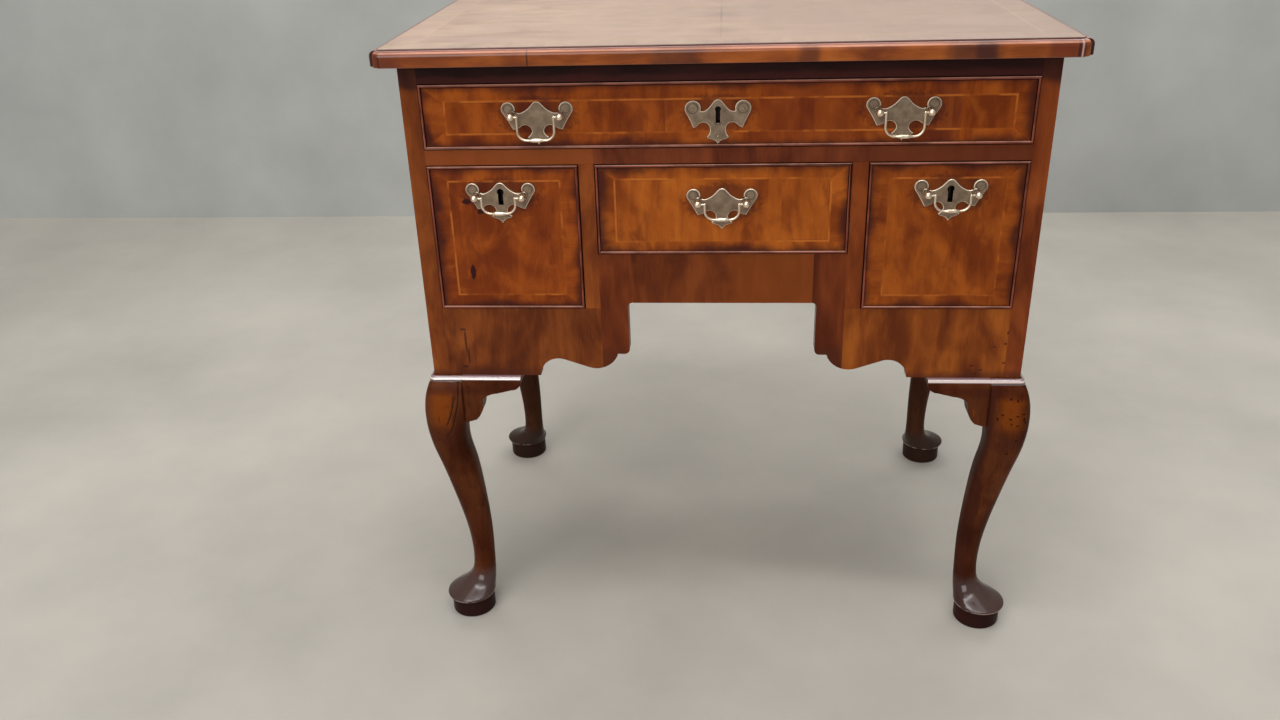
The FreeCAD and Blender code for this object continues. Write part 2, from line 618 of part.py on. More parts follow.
def inside_fittings():
    """Runners, kickers, drawer stops and glue blocks."""
    on_side = (f"{SIDE_IN} - runner_width", SIDE_IN)
    on_partition = (PARTITION_OUT, f"{PARTITION_OUT} + runner_width")
    in_centre = (f"{PARTITION_IN} - runner_width", PARTITION_IN)
    behind_apron = (APRON_BACK, BACK_IN)
    behind_rail = (RAIL_BACK, BACK_IN)
    runners = []
    runners += both_sides("long_runner", on_side, behind_rail,
                          (f"{LONG_BOTTOM} - runner_height", LONG_BOTTOM))
    runners += both_sides("outer_runner", on_side, behind_apron, (RUNNER_UNDER, SIDE_BOTTOM))
    runners += both_sides("inner_runner", on_partition, behind_apron, (RUNNER_UNDER, SIDE_BOTTOM))
    runners += both_sides("centre_runner", in_centre, behind_apron,
                          (f"{CENTRE_BOTTOM} - runner_height", CENTRE_BOTTOM))
    runners += both_sides("kicker", on_side, behind_rail, (LONG_TOP, CASE_TOP))
    keep(group("drawer_runners", *runners), "drawer_runners")

    behind_drawer = (f"{DRAWER_BACK} + running_gap", f"{DRAWER_BACK} + running_gap + stop_length")
    stops = []
    for name, across, level in (("long_stop", on_side, LONG_BOTTOM),
                                ("outer_stop", on_side, SIDE_BOTTOM),
                                ("inner_stop", on_partition, SIDE_BOTTOM),
                                ("centre_stop", in_centre, CENTRE_BOTTOM)):
        stops += both_sides(name, across, behind_drawer, (level, f"{level} + stop_height"))
    keep(group("drawer_stops", *stops), "drawer_stops")

    under_centre_runner = f"({CENTRE_BOTTOM} - runner_height)"
    behind = (APRON_BACK, f"{APRON_BACK} + block_width")
    blocks = []
    blocks += both_sides("bracket_block", (f"{PARTITION_IN} - block_width", PARTITION_IN), behind,
                         (f"{under_centre_runner} - block_length", under_centre_runner))
    blocks += both_sides("apron_block", (PARTITION_IN, PARTITION_OUT), behind,
                         (f"{RUNNER_UNDER} - block_length", RUNNER_UNDER))
    under_top = (f"{CASE_TOP} - block_width", CASE_TOP)
    by_back = (f"{BACK_IN} - block_width", BACK_IN)
    blocks += both_sides("back_block", (PARTITION_IN, f"{PARTITION_IN} + block_length"), by_back,
                         under_top)
    keep(group("glue_blocks", *blocks), "glue_blocks")


# The top.

def top():
    """Boards, moulded edges and the raised field of the top."""
    board_side = f"({TOP_SIDE} - moulding_width)"
    board_front = f"({TOP_FRONT} + moulding_width)"
    core = block("top_core", (f"-{board_side}", board_side), (board_front, TOP_BACK),
                 (CASE_TOP, TOP_FACE))
    side = f"({TOP_SIDE} - field_inset)"
    front = f"({TOP_FRONT} + field_inset)"
    notch = "(corner_notch - corner_round)"
    field_steps = []
    for sign, turns in ((1, (1, -1)), (-1, (-1, 1))):
        corner = [
            (f"{sign} * ({side} - {notch})", front),
            (f"{sign} * ({side} - {notch})", f"{front} + {notch}"),
            (f"{sign} * {side}", f"{front} + {notch}"),
        ]
        field_steps += corner if turns[0] > 0 else corner[::-1]
        if sign > 0:
            field_steps += [(side, TOP_BACK), (f"-{side}", TOP_BACK)]
    field = board("top_field", "XY_Plane", field_steps, TOP_FACE, "veneer_thickness")
    keep(fuse("top_board", core, field), "top_board")

    strip_end = f"({TOP_SIDE} - corner_notch)"
    strip = edge_strip("top_front_strip", (f"-{strip_end}", strip_end),
                       (TOP_FRONT, board_front), "Y", TOP_FRONT)
    rounds = [corner_round("top_right_round")]
    rounds.append(mirrored("top_left_round", rounds[0]))
    keep(fuse("top_front_moulding", strip, *rounds), "top_front_moulding")

    side_strip = edge_strip("top_right_strip", (board_side, TOP_SIDE),
                            (f"{TOP_FRONT} + corner_notch", TOP_BACK), "X", TOP_SIDE)
    right = cut(side_strip, block("mitre_room", (board_side, strip_end),
                                  (TOP_FRONT, board_front), (CASE_TOP, TOP_FACE)))
    left = mirrored("top_left_strip", right)
    keep(group("top_side_mouldings", right, left), "top_side_mouldings")


def edge_strip(name, across, back, axis, level):
    """A strip of the top's edge with a quarter round above and a soft arris below."""
    outline = ((across[0], back[0]), (across[1], back[0]), (across[1], back[1]),
               (across[0], back[1]))
    body = board(name, "XY_Plane", outline, CASE_TOP, "top_thickness")
    outer = value(level)
    upper = value(TOP_FACE)
    lower = value(CASE_TOP)
    soften(body, "Fillet", "moulding_round",
           lambda edge: lies_at(edge, axis, outer) and lies_at(edge, "Z", upper))
    return soften(body, "Fillet", "moulding_arris",
                  lambda edge: lies_at(edge, axis, outer) and lies_at(edge, "Z", lower))


def corner_round(name):
    """The quarter round that stands in the notch at a front corner of the top."""
    middle = (f"{TOP_SIDE} - corner_notch", f"{TOP_FRONT} + corner_notch")
    outline = (
        middle,
        (middle[0], f"{TOP_FRONT} + corner_notch - corner_round"),
        (f"{TOP_SIDE} - corner_notch + corner_round", middle[1], 1, 90),
    )
    body = board(name, "XY_Plane", outline, CASE_TOP, "top_thickness")
    upper = value(TOP_FACE)
    return soften(body, "Fillet", "moulding_round",
                  lambda edge: lies_at(edge, "Z", upper) and edge.Curve.TypeId == "Part::GeomCircle")


# The legs.

LEDGE_UNDER = "(leg_height - ledge_thickness)"
CALF_HEIGHT = "(leg_height - calf_drop)"
LEG_LEVELS = {
    "ledge": LEDGE_UNDER,
    "upper_knee": "leg_height - upper_knee_drop",
    "knee": "leg_height - knee_drop",
    "lower_knee": "leg_height - lower_knee_drop",
    "calf": CALF_HEIGHT,
    "shin": f"{CALF_HEIGHT} - ({CALF_HEIGHT} - ankle_height) * shin_share",
    "lower_shin": f"{CALF_HEIGHT} - ({CALF_HEIGHT} - ankle_height) * lower_shin_share",
    "ankle": "ankle_height",
    "heel": "heel_height",
    "instep": "instep_height",
    "toe": "toe_height",
    "rim": "rim_height",
}
SECTION_POINTS = 24


def leg_section(level, lean):
    """The closed curve round a leg at one level, about the corner of the case."""
    height = value(LEG_LEVELS[level])
    half = value(f"({level}_inner + {level}_reach) / 2")
    ledge, knee, shin = (value(LEG_LEVELS[name]) for name in ("ledge", "knee", "lower_shin"))
    middle = value(f"({level}_inner - {level}_reach) / 2") + lean * max(1 - height / knee, 0)
    squareness, under_ledge = value("knee_squareness"), value("ledge_squareness")
    power = 2 + (squareness - 2) * min(max((height - shin) / (knee - shin), 0), 1) \
        + (under_ledge - squareness) * max((height - knee) / (ledge - knee), 0)
    points = []
    for step in range(SECTION_POINTS):
        turn = 2 * math.pi * step / SECTION_POINTS
        cosine, sine = math.cos(turn), math.sin(turn)
        radius = half / (abs(cosine) ** power + abs(sine) ** power) ** (1 / power)
        points.append(Vector(middle + radius * cosine, middle + radius * sine, height))
    curve = Part.BSplineCurve()
    curve.interpolate(Points=points, PeriodicFlag=True)
    return Part.Wire(curve.toShape())


def leg_shape(lean, inset):
    """A cabriole leg about the corner of the case, growing towards +X and +Y.

    Its foot leans in, and its post stands inset behind the apron or the back board.
    """
    sections = [leg_section(level, lean) for level in LEG_LEVELS]
    limb = Part.makeLoft(sections, True, False)
    low = -value("knee_block_outer")
    size = value("knee_block") - low
    height = value("leg_height")
    drop = value("knee_block_drop")
    head = Part.makeBox(size, size, drop, Vector(low, low, height - drop))
    room = Part.makeBox(height, height, drop, Vector(-height / 2, low + size, height - drop))
    limb = limb.cut([room, room.mirror(Vector(), Vector(1, -1, 0))])
    post_size = value("post_size")
    post = Part.makeBox(post_size, post_size, value(RUNNER_UNDER) - height,
                        Vector(value("side_thickness"), value(inset), height))
    middle = value("shoe_inset") + lean
    shoe = Part.makeCylinder(value("shoe_radius"), value("rim_height"), Vector(middle, middle, 0))
    rims = [edge for edge in shoe.Edges if edge.Curve.TypeId == "Part::GeomCircle"]
    shoe = shoe.makeFillet(value("shoe_bevel"), rims)
    return limb.fuse([leg_ledge(), head, post, shoe]).removeSplitter()


def leg_ledge():
    """The straight ledge round the shoulder of a leg, about the corner of the case."""
    reach, end, under = value("ledge_reach"), value("knee_block"), value(LEDGE_UNDER)
    slab = Part.makeBox(end + reach, end + reach, value("leg_height") - under,
                        Vector(-reach, -reach, under))
    corner = [edge for edge in slab.Edges
              if lies_at(edge, "X", -reach) and lies_at(edge, "Y", -reach)]
    slab = slab.makeFillet(value("ledge_corner"), corner)
    upper = [edge for edge in slab.Edges if lies_at(edge, "Z", value("leg_height"))
             and not lies_at(edge, "X", end) and not lies_at(edge, "Y", end)]
    return slab.makeFillet(value("ledge_round"), upper)


def legs():
    """Four cabriole legs, whose posts stand inside the corners of the case."""
    front = doc.addObject("Part::Feature", "front_left_leg")
    front.Shape = leg_shape(0, "apron_thickness")
    place(front, f"-{SIDE_OUT}", FRONT)
    keep(front, "front_left_leg")
    keep(mirrored("front_right_leg", front), "front_right_leg")
    back = doc.addObject("Part::Feature", "back_left_leg")
    back.Shape = leg_shape(value("back_leg_lean"), "back_thickness").mirror(Vector(), Vector(0, 1, 0))
    place(back, f"-{SIDE_OUT}", BACK)
    keep(back, "back_left_leg")
    keep(mirrored("back_right_leg", back), "back_right_leg")


def ear(name):
    """The carved ear beside the right front knee, seen from the front."""
    corner = "case_width / 2"
    shoulder = "leg_height"
    outline = (
        (f"{corner} - knee_block", shoulder),
        (f"{corner} - ear_end", shoulder),
        (f"{corner} - ear_end", f"{shoulder} - ear_end_drop"),
        (f"{corner} - ear_end + ear_bend", f"{shoulder} - ear_end_drop - ear_bend", 1, 90),
        (f"{corner} - ear_mid_end", f"{shoulder} - ear_mid_drop"),
        (f"{corner} - ear_hollow", f"{shoulder} - ear_hollow_drop", -1, "ear_hollow_bend"),
        (f"{corner} - ear_side", f"{shoulder} - ear_side_drop"),
        (f"{corner} - ear_heel", f"{shoulder} - ear_heel_drop", 1, "ear_lobe_bend"),
        (f"{corner} - knee_block", f"{shoulder} - ear_foot_drop"),
    )
    body = board(name, "XZ_Plane", outline, f"{FRONT} - ledge_reach + ear_thickness",
                 "ear_thickness")
    face = value(f"{FRONT} - ledge_reach")
    upper = value(shoulder)
    return soften(body, "Fillet", "ledge_round",
                  lambda edge: lies_at(edge, "Y", face) and lies_at(edge, "Z", upper))


def ears():
    """Two ears beside each front knee, and one before each back knee."""
    right = ear("front_right_front_ear")
    left = mirrored("front_left_front_ear", right)
    across_corner = Vector(1, 1, 0)
    turned = doc.addObject("Part::Mirroring", "front_right_side_ear")
    turned.Source = right
    turned.setExpression("Base.x", bound(SIDE_OUT))
    turned.setExpression("Base.y", bound(FRONT))
    turned.Normal = across_corner
    other = mirrored("front_left_side_ear", turned)
    keep(group("front_leg_ears", right, left, turned, other), "front_leg_ears")
    back_right = doc.addObject("Part::Mirroring", "back_right_ear")
    back_right.Source = turned
    back_right.setExpression("Base.y", bound(f"({FRONT} + {BACK}) / 2"))
    back_right.Normal = Vector(0, 1, 0)
    back_left = mirrored("back_left_ear", back_right)
    keep(group("back_leg_ears", back_right, back_left), "back_leg_ears")


# The drawers.

def cockbead(name, left, right, bottom, top):
    """The four mitred strips of beading round a drawer front."""
    beads = []
    inner = "cockbead_thickness"
    face = value(f"{FRONT} - cockbead_projection")
    edges = (
        ("lower", ((left, bottom), (right, bottom), (f"{right} - {inner}", f"{bottom} + {inner}"),
                   (f"{left} + {inner}", f"{bottom} + {inner}"))),
        ("upper", ((left, top), (f"{left} + {inner}", f"{top} - {inner}"),
                   (f"{right} - {inner}", f"{top} - {inner}"), (right, top))),
        ("left", ((left, bottom), (f"{left} + {inner}", f"{bottom} + {inner}"),
                  (f"{left} + {inner}", f"{top} - {inner}"), (left, top))),
        ("right", ((right, bottom), (right, top), (f"{right} - {inner}", f"{top} - {inner}"),
                   (f"{right} - {inner}", f"{bottom} + {inner}"))),
    )
    for side, outline in edges:
        body = board(f"{name}_{side}_bead", "XZ_Plane", outline, f"{FRONT} + cockbead_depth",
                     "cockbead_depth + cockbead_projection")
        soften(body, "Fillet", "cockbead_thickness * 0.49",
               lambda edge: lies_at(edge, "Y", face) and edge.Length > 3 * value(inner))
        beads.append(body)
    return group(f"{name}_cockbeads", *beads)


def drawer_side(name, left, bottom, top, tails):
    """A drawer side with the dovetails at its front end."""
    low = f"({bottom} + running_gap)"
    high = f"({top} - lining_drop)"
    shoulder = f"({FRONT} + front_thickness)"
    tip = f"({shoulder} - tail_length)"
    steps = [(DRAWER_BACK, low), (DRAWER_BACK, high), (shoulder, high)]
    for number in range(tails):
        middle = f"({high} - ({high} - {low}) * {number + 0.5} / {tails})"
        half = f"(({high} - {low}) * tail_share / {tails} / 2)"
        steps += [(shoulder, f"{middle} + {half}"), (tip, f"{middle} + {half} + tail_flare"),
                  (tip, f"{middle} - {half} - tail_flare"), (shoulder, f"{middle} - {half}")]
    steps.append((shoulder, low))
    return board(name, "YZ_Plane", steps, left, "lining_thickness")


def keyhole(name, middle, level):
    """What a keyhole takes out of a plate, a drawer front and the face of a lock."""
    kind = "long" if name == "long_drawer" else "deep"
    start = f"({FRONT} - plate_thickness - 1)"
    length = "(front_thickness + plate_thickness + 1 - lock_depth / 2 - bolt_thickness)"
    half = f"{kind}_key_slot_width / 2"
    hole = rod(f"{name}_round", f"{kind}_key_radius", (middle, start, level), length,
               Vector(0, 1, 0))
    slot = block(f"{name}_slot", (f"{middle} - {half}", f"{middle} + {half}"),
                 (start, f"{start} + {length}"), (f"{level} - key_slot_length", level))
    return fuse(f"{name}_keyhole", hole, slot)


def lock(name, middle, upper):
    """A lock case let into the drawer front from behind, and its bolt."""
    case_back = f"({FRONT} + front_thickness)"
    case = block(f"{name}_lock_block", (f"{middle} - lock_width / 2", f"{middle} + lock_width / 2"),
                 (f"{case_back} - lock_depth", case_back), (f"{upper} - lock_height", upper))
    bolt_back = f"({case_back} - lock_depth / 2 + bolt_thickness / 2)"
    bolt_front = f"({bolt_back} - bolt_thickness)"
    bolt = block(f"{name}_lock_bolt", (f"{middle} - bolt_width / 2", f"{middle} + bolt_width / 2"),
                 (bolt_front, bolt_back), (f"{upper} - bolt_height", upper))
    half = "(bolt_width / 2 + bolt_clearance)"
    slot = block(f"{name}_bolt_slot", (f"{middle} - {half}", f"{middle} + {half}"),
                 (f"{bolt_front} - bolt_clearance", f"{bolt_back} + bolt_clearance"),
                 (f"{upper} - bolt_height - running_gap", f"{upper} + 1"))
    return case, bolt, slot


def drawer(name, left, right, bottom, top, tails, pulls, locked=None):
    """A drawer with its beading, linings, pulls and lock, in the opening between four levels.

    pulls are the middles of its pulls, then their level and the kind of their bails. locked is
    the keyhole's middle.
    """
    x_low, x_high = f"({left} + drawer_gap)", f"({right} - drawer_gap)"
    z_low, z_high = f"({bottom} + drawer_gap)", f"({top} - drawer_gap)"
    inner = "cockbead_thickness"
    back_face = f"({FRONT} + front_thickness)"
    bead_back = f"({FRONT} + cockbead_depth)"

    left_side = drawer_side(f"{name}_left_lining", x_low, bottom, top, tails)
    right_side = drawer_side(f"{name}_right_lining", f"({x_high} - lining_thickness)", bottom, top,
                             tails)
    floor_low = f"({bottom} + running_gap + bottom_rise)"
    floor_high = f"({floor_low} + bottom_thickness)"
    floor = block(f"{name}_bottom",
                  (f"{x_low} + lining_thickness - bottom_groove",
                   f"{x_high} - lining_thickness + bottom_groove"),
                  (f"{back_face} - bottom_groove", DRAWER_BACK), (floor_low, floor_high))
    back = block(f"{name}_back", (f"{x_low} + lining_thickness", f"{x_high} - lining_thickness"),
                 (f"{DRAWER_BACK} - lining_thickness", DRAWER_BACK),
                 (floor_high, f"{top} - lining_drop"))
    linings = group(f"{name}_box", cut(left_side, floor), cut(right_side, floor), back)

    behind = block(f"{name}_front_back", (x_low, x_high), (bead_back, back_face), (z_low, z_high))
    face = block(f"{name}_front_face", (f"{x_low} + {inner}", f"{x_high} - {inner}"),
                 (FRONT, bead_back), (f"{z_low} + {inner}", f"{z_high} - {inner}"))
    front = cut(fuse(f"{name}_front_board", behind, face), linings, floor)

    openings = []
    if locked is not None:
        key_level = f"({z_high} - key_drop)"
        openings.append(keyhole(name, locked, key_level))
        case, bolt, slot = lock(name, locked, z_high)
        front = cut(front, case, openings[0])
        keep(cut(case, slot, openings[0]), f"{name}_lock_case")
        keep(bolt, f"{name}_lock_bolt")
    shanks = [rod(f"{name}_shank_hole", "shank_radius + shank_clearance",
                  (f"{middle} {sign} post_spacing / 2", f"{FRONT} - plate_thickness - 1", pulls[-2]),
                  "front_thickness + plate_thickness + 2", Vector(0, 1, 0))
              for middle in pulls[:-2] for sign in "-+"]
    if name == "long_drawer":
        front = cut(front, *escutcheon(locked, key_level, openings[0]))
    keep(cut(front, *shanks), f"{name}_front")
    keep(cockbead(name, x_low, x_high, z_low, z_high), f"{name}_cockbeads")
    keep(linings, f"{name}_box")
    keep(floor, f"{name}_bottom")
    pull_set(name, pulls, shanks, openings if name != "long_drawer" else [])


# Brasses.

# The places along a plate's edge from its tip to its crown, and the turn on the way to each.
PLATE_PLACES = (("barb", -1), ("jaw", 0), ("cheek", 1), ("waist", -1), ("scoop", -1), ("rise", -1),
                ("point", 1), ("flank", -1), ("wing", 1), ("dip", 1), ("saddle", -1), ("slope", -1),
                ("crown", 0))


def batwing(kind, middle, level):
    """The outline of a plate: a crown between two round wings, with a tail below."""
    steps = []
    for place_name, turn in PLATE_PLACES:
        spot = (f"{middle} + {kind}_{place_name}_across", f"{level} + {kind}_{place_name}_up")
        steps.append(spot + ((turn, f"{place_name}_bend") if turn else ()))
    following = (1, "crown_bend")
    for place_name, turn in reversed(PLATE_PLACES):
        spot = (f"{middle} - {kind}_{place_name}_across", f"{level} + {kind}_{place_name}_up")
        steps.append(spot + following)
        following = (turn, f"{place_name}_bend") if turn else ()
    steps.append((middle, f"{level} + {kind}_tip_up") + following)
    return steps


def plate(name, kind, middle, level, *holes):
    """A brass plate with a bevelled edge, lying on the face of a drawer front."""
    outline = batwing(kind, middle, level)
    blank = board(name, "XZ_Plane", outline, FRONT, "plate_thickness - plate_bevel")
    face = value(f"{FRONT} - plate_thickness")
    bevel = value("plate_bevel")
    edge = doc.addObject("Part::Feature", f"{name}_bevel")
    edge.Shape = Part.makeLoft([upright_wire(outline, 0, face + bevel),
                                upright_wire(outline, bevel, face)], True, True)
    return cut(fuse(f"{name}_bevelled", blank, edge), *holes)


def upright_wire(steps, inset, back):
    """The wire of an outline that runs to the left, drawn in by an inset and standing at back."""
    corners = [Vector(value(step[0]), value(step[1]), 0) for step in steps]
    bends = [math.radians(step[2] * value(step[3])) if len(step) > 2 else 0 for step in steps]
    drawn = []
    for number, corner in enumerate(corners):
        following = (number + 1) % len(steps)
        arriving = corner - corners[number - 1]
        leaving = corners[following] - corner
        normals = [Vector(-math.sin(angle), math.cos(angle), 0) for angle in (
            math.atan2(arriving.y, arriving.x) + bends[number] / 2,
            math.atan2(leaving.y, leaving.x) - bends[following] / 2)]
        drawn.append(corner + (normals[0] + normals[1]) * (inset / (1 + normals[0].dot(normals[1]))))
    edges = []
    for number, end in enumerate(drawn):
        start = drawn[number - 1]
        flat = arc_between(start, end, math.degrees(bends[number])).toShape() if bends[number] \
            else Part.makeLine(start, end)
        edges.append(flat)
    wire = Part.Wire(edges)
    wire.Placement = Placement(Vector(0, back, 0), Rotation(Vector(1, 0, 0), 90))
    return wire


def escutcheon(middle, level, key):
    """The plate round the long drawer's keyhole, with its three pins. Gives the pins' holes."""
    spots = (("left", f"({middle} - scutcheon_pin_across)", f"({level} - scutcheon_pin_drop)"),
             ("right", f"({middle} + scutcheon_pin_across)", f"({level} - scutcheon_pin_drop)"),
             ("tail", middle, f"({level} - scutcheon_tail_pin_drop)"))
    holes = []
    pins = []
    for name, across, up in spots:
        front = f"({FRONT} - plate_thickness)"
        holes.append(rod(f"{name}_pin_hole", "pin_shank_radius + shank_clearance / 2",
                         (across, f"{front} - 1", up), "pin_shank_length + 2", Vector(0, 1, 0)))
        shank = rod(f"{name}_pin_shank", "pin_shank_radius", (across, front, up),
                    "pin_shank_length", Vector(0, 1, 0))
        head = doc.addObject("Part::Cone", f"{name}_pin_head")
        bind(head, Radius1="pin_head_radius", Radius2="pin_head_radius / 2", Height="pin_head_height")
        head.Placement = Placement(Vector(), Rotation(Vector(0, 0, 1), Vector(0, -1, 0)))
        place(head, across, front, up)
        pins.append(fuse(f"{name}_pin", shank, head))
    keep(plate("escutcheon_plate", "scutcheon", middle, level, key, *holes), "long_drawer_escutcheon")
    keep(group("long_drawer_escutcheon_pins", *pins), "long_drawer_escutcheon_pins")
    return holes


def post(name, across, level):
    """A post with a ball head bored for the bail, and the square nut behind the drawer front."""
    plate_face = f"({FRONT} - plate_thickness)"
    pivot = f"({FRONT} - pivot_projection)"
    nut_face = f"({FRONT} + front_thickness)"
    foot = doc.addObject("Part::Cone", f"{name}_foot")
    bind(foot, Radius1="collar_radius", Radius2="neck_radius", Height="collar_height")
    foot.Placement = Placement(Vector(), Rotation(Vector(0, 0, 1), Vector(0, -1, 0)))
    place(foot, across, plate_face, level)
    neck = rod(f"{name}_neck", "neck_radius", (across, plate_face, level),
               f"{plate_face} - {pivot}", Vector(0, -1, 0))
    head = ball(f"{name}_head", "ball_radius", (across, pivot, level))
    shank = rod(f"{name}_shank", "shank_radius", (across, plate_face, level),
                "plate_thickness + front_thickness + nut_thickness + shank_end", Vector(0, 1, 0))
    bore = rod(f"{name}_bore", "pin_radius + pin_clearance",
               (f"{across} - ball_radius - 1", pivot, level), "2 * ball_radius + 2", Vector(1, 0, 0))
    nut = block(f"{name}_nut_block", (f"{across} - nut_width / 2", f"{across} + nut_width / 2"),
                (nut_face, f"{nut_face} + nut_thickness"),
                (f"{level} - nut_width / 2", f"{level} + nut_width / 2"))
    thread = rod(f"{name}_thread", "shank_radius + shank_clearance / 2",
                 (across, f"{nut_face} - 1", level), "nut_thickness + 2", Vector(0, 1, 0))
    return [cut(fuse(f"{name}_post", foot, neck, head, shank), bore), cut(nut, thread)]


def bail(name, middle, level, kind):
    """A hanging bail: two pins, two uprights, rounded lower corners and a swelling grip."""
    pivot = f"({FRONT} - pivot_projection)"
    drop = f"{kind}_bail_drop"
    half = f"{kind}_bail_half_width"
    grip = f"({level} - {drop})"
    parts = []
    for side, sign in (("left", "-"), ("right", "+")):
        upright = f"({middle} {sign} {half})"
        bend = f"({middle} {sign} ({half} - bail_bend))"
        out = Vector(-1 if sign == "-" else 1, 0, 0)
        parts.append(rod(f"{name}_{side}_end", "pin_radius", (upright, pivot, level),
                         f"post_spacing / 2 - {half} + ball_radius * 0.7", out))
        parts.append(ball(f"{name}_{side}_elbow", "elbow_radius", (upright, pivot, level)))
        parts.append(rod(f"{name}_{side}_upright", "wire_radius", (upright, pivot, level),
                         f"{drop} - bail_bend", Vector(0, 0, -1)))
        corner = doc.addObject("Part::Torus", f"{name}_{side}_corner")
        bind(corner, Radius1="bail_bend", Radius2="wire_radius")
        corner.Angle3 = 90
        turn = Rotation(Vector(1, 0, 0), 90)
        start = Rotation(Vector(0, 0, 1), 180 if sign == "-" else 270)
        corner.Placement = Placement(Vector(), turn * start)
        place(corner, bend, pivot, f"{grip} + bail_bend")
        parts.append(corner)
        taper = doc.addObject("Part::Cone", f"{name}_{side}_taper")
        bind(taper, Radius1="grip_radius", Radius2="wire_radius", Height="grip_taper")
        taper.Placement = Placement(Vector(), Rotation(Vector(0, 0, 1), out))
        place(taper, f"{middle} {sign} grip_length / 2", pivot, grip)
        parts.append(taper)
    bar = f"({half} - bail_bend)"
    parts.append(rod(f"{name}_bar", "wire_radius", (f"{middle} - {bar}", pivot, grip),
                     f"2 * {bar}", Vector(1, 0, 0)))
    parts.append(rod(f"{name}_grip", "grip_radius", (f"{middle} - grip_length / 2", pivot, grip),
                     "grip_length", Vector(1, 0, 0)))
    return fuse(name, *parts)


def pull_set(name, pulls, shanks, keyholes):
    """The plates, posts and bails of a drawer."""
    *middles, level, kind = pulls
    plates = []
    posts = []
    for number, middle in enumerate(middles):
        side = ("left_", "right_")[number] if len(middles) > 1 else ""
        own_shanks = shanks[2 * number:2 * number + 2]
        plates.append(plate(f"{name}_{side}plate", "plate", middle, level, *own_shanks, *keyholes))
        posts += post(f"{name}_{side}left", f"({middle} - post_spacing / 2)", level)
        posts += post(f"{name}_{side}right", f"({middle} + post_spacing / 2)", level)
        keep(bail(f"{name}_{side}bail", middle, level, kind), f"{name}_{side}bail")
    if len(plates) > 1:
        keep(group(f"{name}_backplates", *plates), f"{name}_backplates")
    else:
        keep(plates[0], f"{name}_backplate")
    keep(group(f"{name}_pull_posts", *posts), f"{name}_pull_posts")


def drawers():
    """One long drawer over a deep, a shallow and a deep one."""
    half = "long_pull_spacing / 2"
    drawer("long_drawer", f"-{SIDE_IN}", SIDE_IN, LONG_BOTTOM, LONG_TOP, round(value("long_tails")),
           (f"(long_brass_shift - {half})", f"(long_brass_shift + {half})",
            f"({LONG_BOTTOM} + long_pull_height)", "long"), "long_brass_shift")
    deep = f"({SIDE_BOTTOM} + deep_pull_height)"
    tails = round(value("deep_tails"))
    drawer("left_drawer", f"-{SIDE_IN}", f"-{PARTITION_OUT}", SIDE_BOTTOM, LOWER_TOP, tails,
           ("(-deep_pull_offset)", deep, "lower"), "(-deep_pull_offset)")
    drawer("right_drawer", PARTITION_OUT, SIDE_IN, SIDE_BOTTOM, LOWER_TOP, tails,
           ("deep_pull_offset", deep, "lower"), "deep_pull_offset")
    drawer("centre_drawer", f"-{PARTITION_IN}", PARTITION_IN, CENTRE_BOTTOM, LOWER_TOP,
           round(value("shallow_tails")),
           ("0", f"({CENTRE_BOTTOM} + shallow_pull_height)", "lower"))


rails()
back_and_sides()
partitions()
aprons()
inside_fittings()
top()
legs()
ears()
drawers()
doc.recompute()

faults = [f"{thing.Label}: {thing.State}" for thing in doc.Objects
          if "Invalid" in thing.State or "Error" in thing.State]
faults += [f"{piece.Label}: no valid shape" for piece in pieces
           if piece.Shape.isNull() or not piece.Shape.isValid() or not piece.Shape.Solids]
if faults:
    raise SystemExit("\n".join(faults))

os.makedirs("parts", exist_ok=True)
for piece in pieces:
    piece.Shape.exportStep(f"parts/{piece.Label}.step")
print(f"{len(pieces)} pieces, {sum(len(piece.Shape.Solids) for piece in pieces)} solids")
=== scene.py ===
"""The looks of a walnut lowboy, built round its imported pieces."""

import json
import math

import bmesh
import bpy
from mathutils import Matrix, Vector


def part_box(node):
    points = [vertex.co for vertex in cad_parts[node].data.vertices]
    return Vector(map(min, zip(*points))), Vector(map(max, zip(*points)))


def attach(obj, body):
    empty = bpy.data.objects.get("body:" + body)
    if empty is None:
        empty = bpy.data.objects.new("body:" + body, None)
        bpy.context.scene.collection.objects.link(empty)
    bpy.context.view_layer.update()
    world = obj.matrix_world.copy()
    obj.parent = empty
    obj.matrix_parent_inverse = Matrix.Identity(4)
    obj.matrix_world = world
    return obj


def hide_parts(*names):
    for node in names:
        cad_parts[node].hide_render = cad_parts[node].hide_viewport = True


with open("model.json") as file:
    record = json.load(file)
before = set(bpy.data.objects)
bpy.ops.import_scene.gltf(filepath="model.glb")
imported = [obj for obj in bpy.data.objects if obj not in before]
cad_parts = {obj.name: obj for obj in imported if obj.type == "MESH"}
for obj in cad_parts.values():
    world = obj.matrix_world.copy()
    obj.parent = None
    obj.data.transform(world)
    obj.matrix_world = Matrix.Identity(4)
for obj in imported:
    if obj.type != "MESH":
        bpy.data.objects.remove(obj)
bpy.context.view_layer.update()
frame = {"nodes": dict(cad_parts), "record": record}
RECORD = frame["record"]
BODY_OF = {node: body for body, nodes in RECORD["behaviour"]["bodies"].items() for node in nodes}

MM = 0.001

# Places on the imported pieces.
CASE_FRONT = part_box("middle_rail")[0].y
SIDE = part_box("right_side_panel")[1].x
PLATE_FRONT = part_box("left_drawer_backplate")[0].y
LEG_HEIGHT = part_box("left_apron")[0].z

# The middles of the brasses, in millimetres: the long drawer's two plates lie as far to the left
# as to the right of its own middle, and the lower drawers' three beside and on the middle of the
# case.
LONG_MIDDLE, LONG_SPREAD, LONG_LEVEL = -4.5, 190.5, 657.5
DEEP_SPREAD, DEEP_LEVEL, SHALLOW_LEVEL = 241.5, 570.1, 561.9
KEY_LEVEL = 660.3

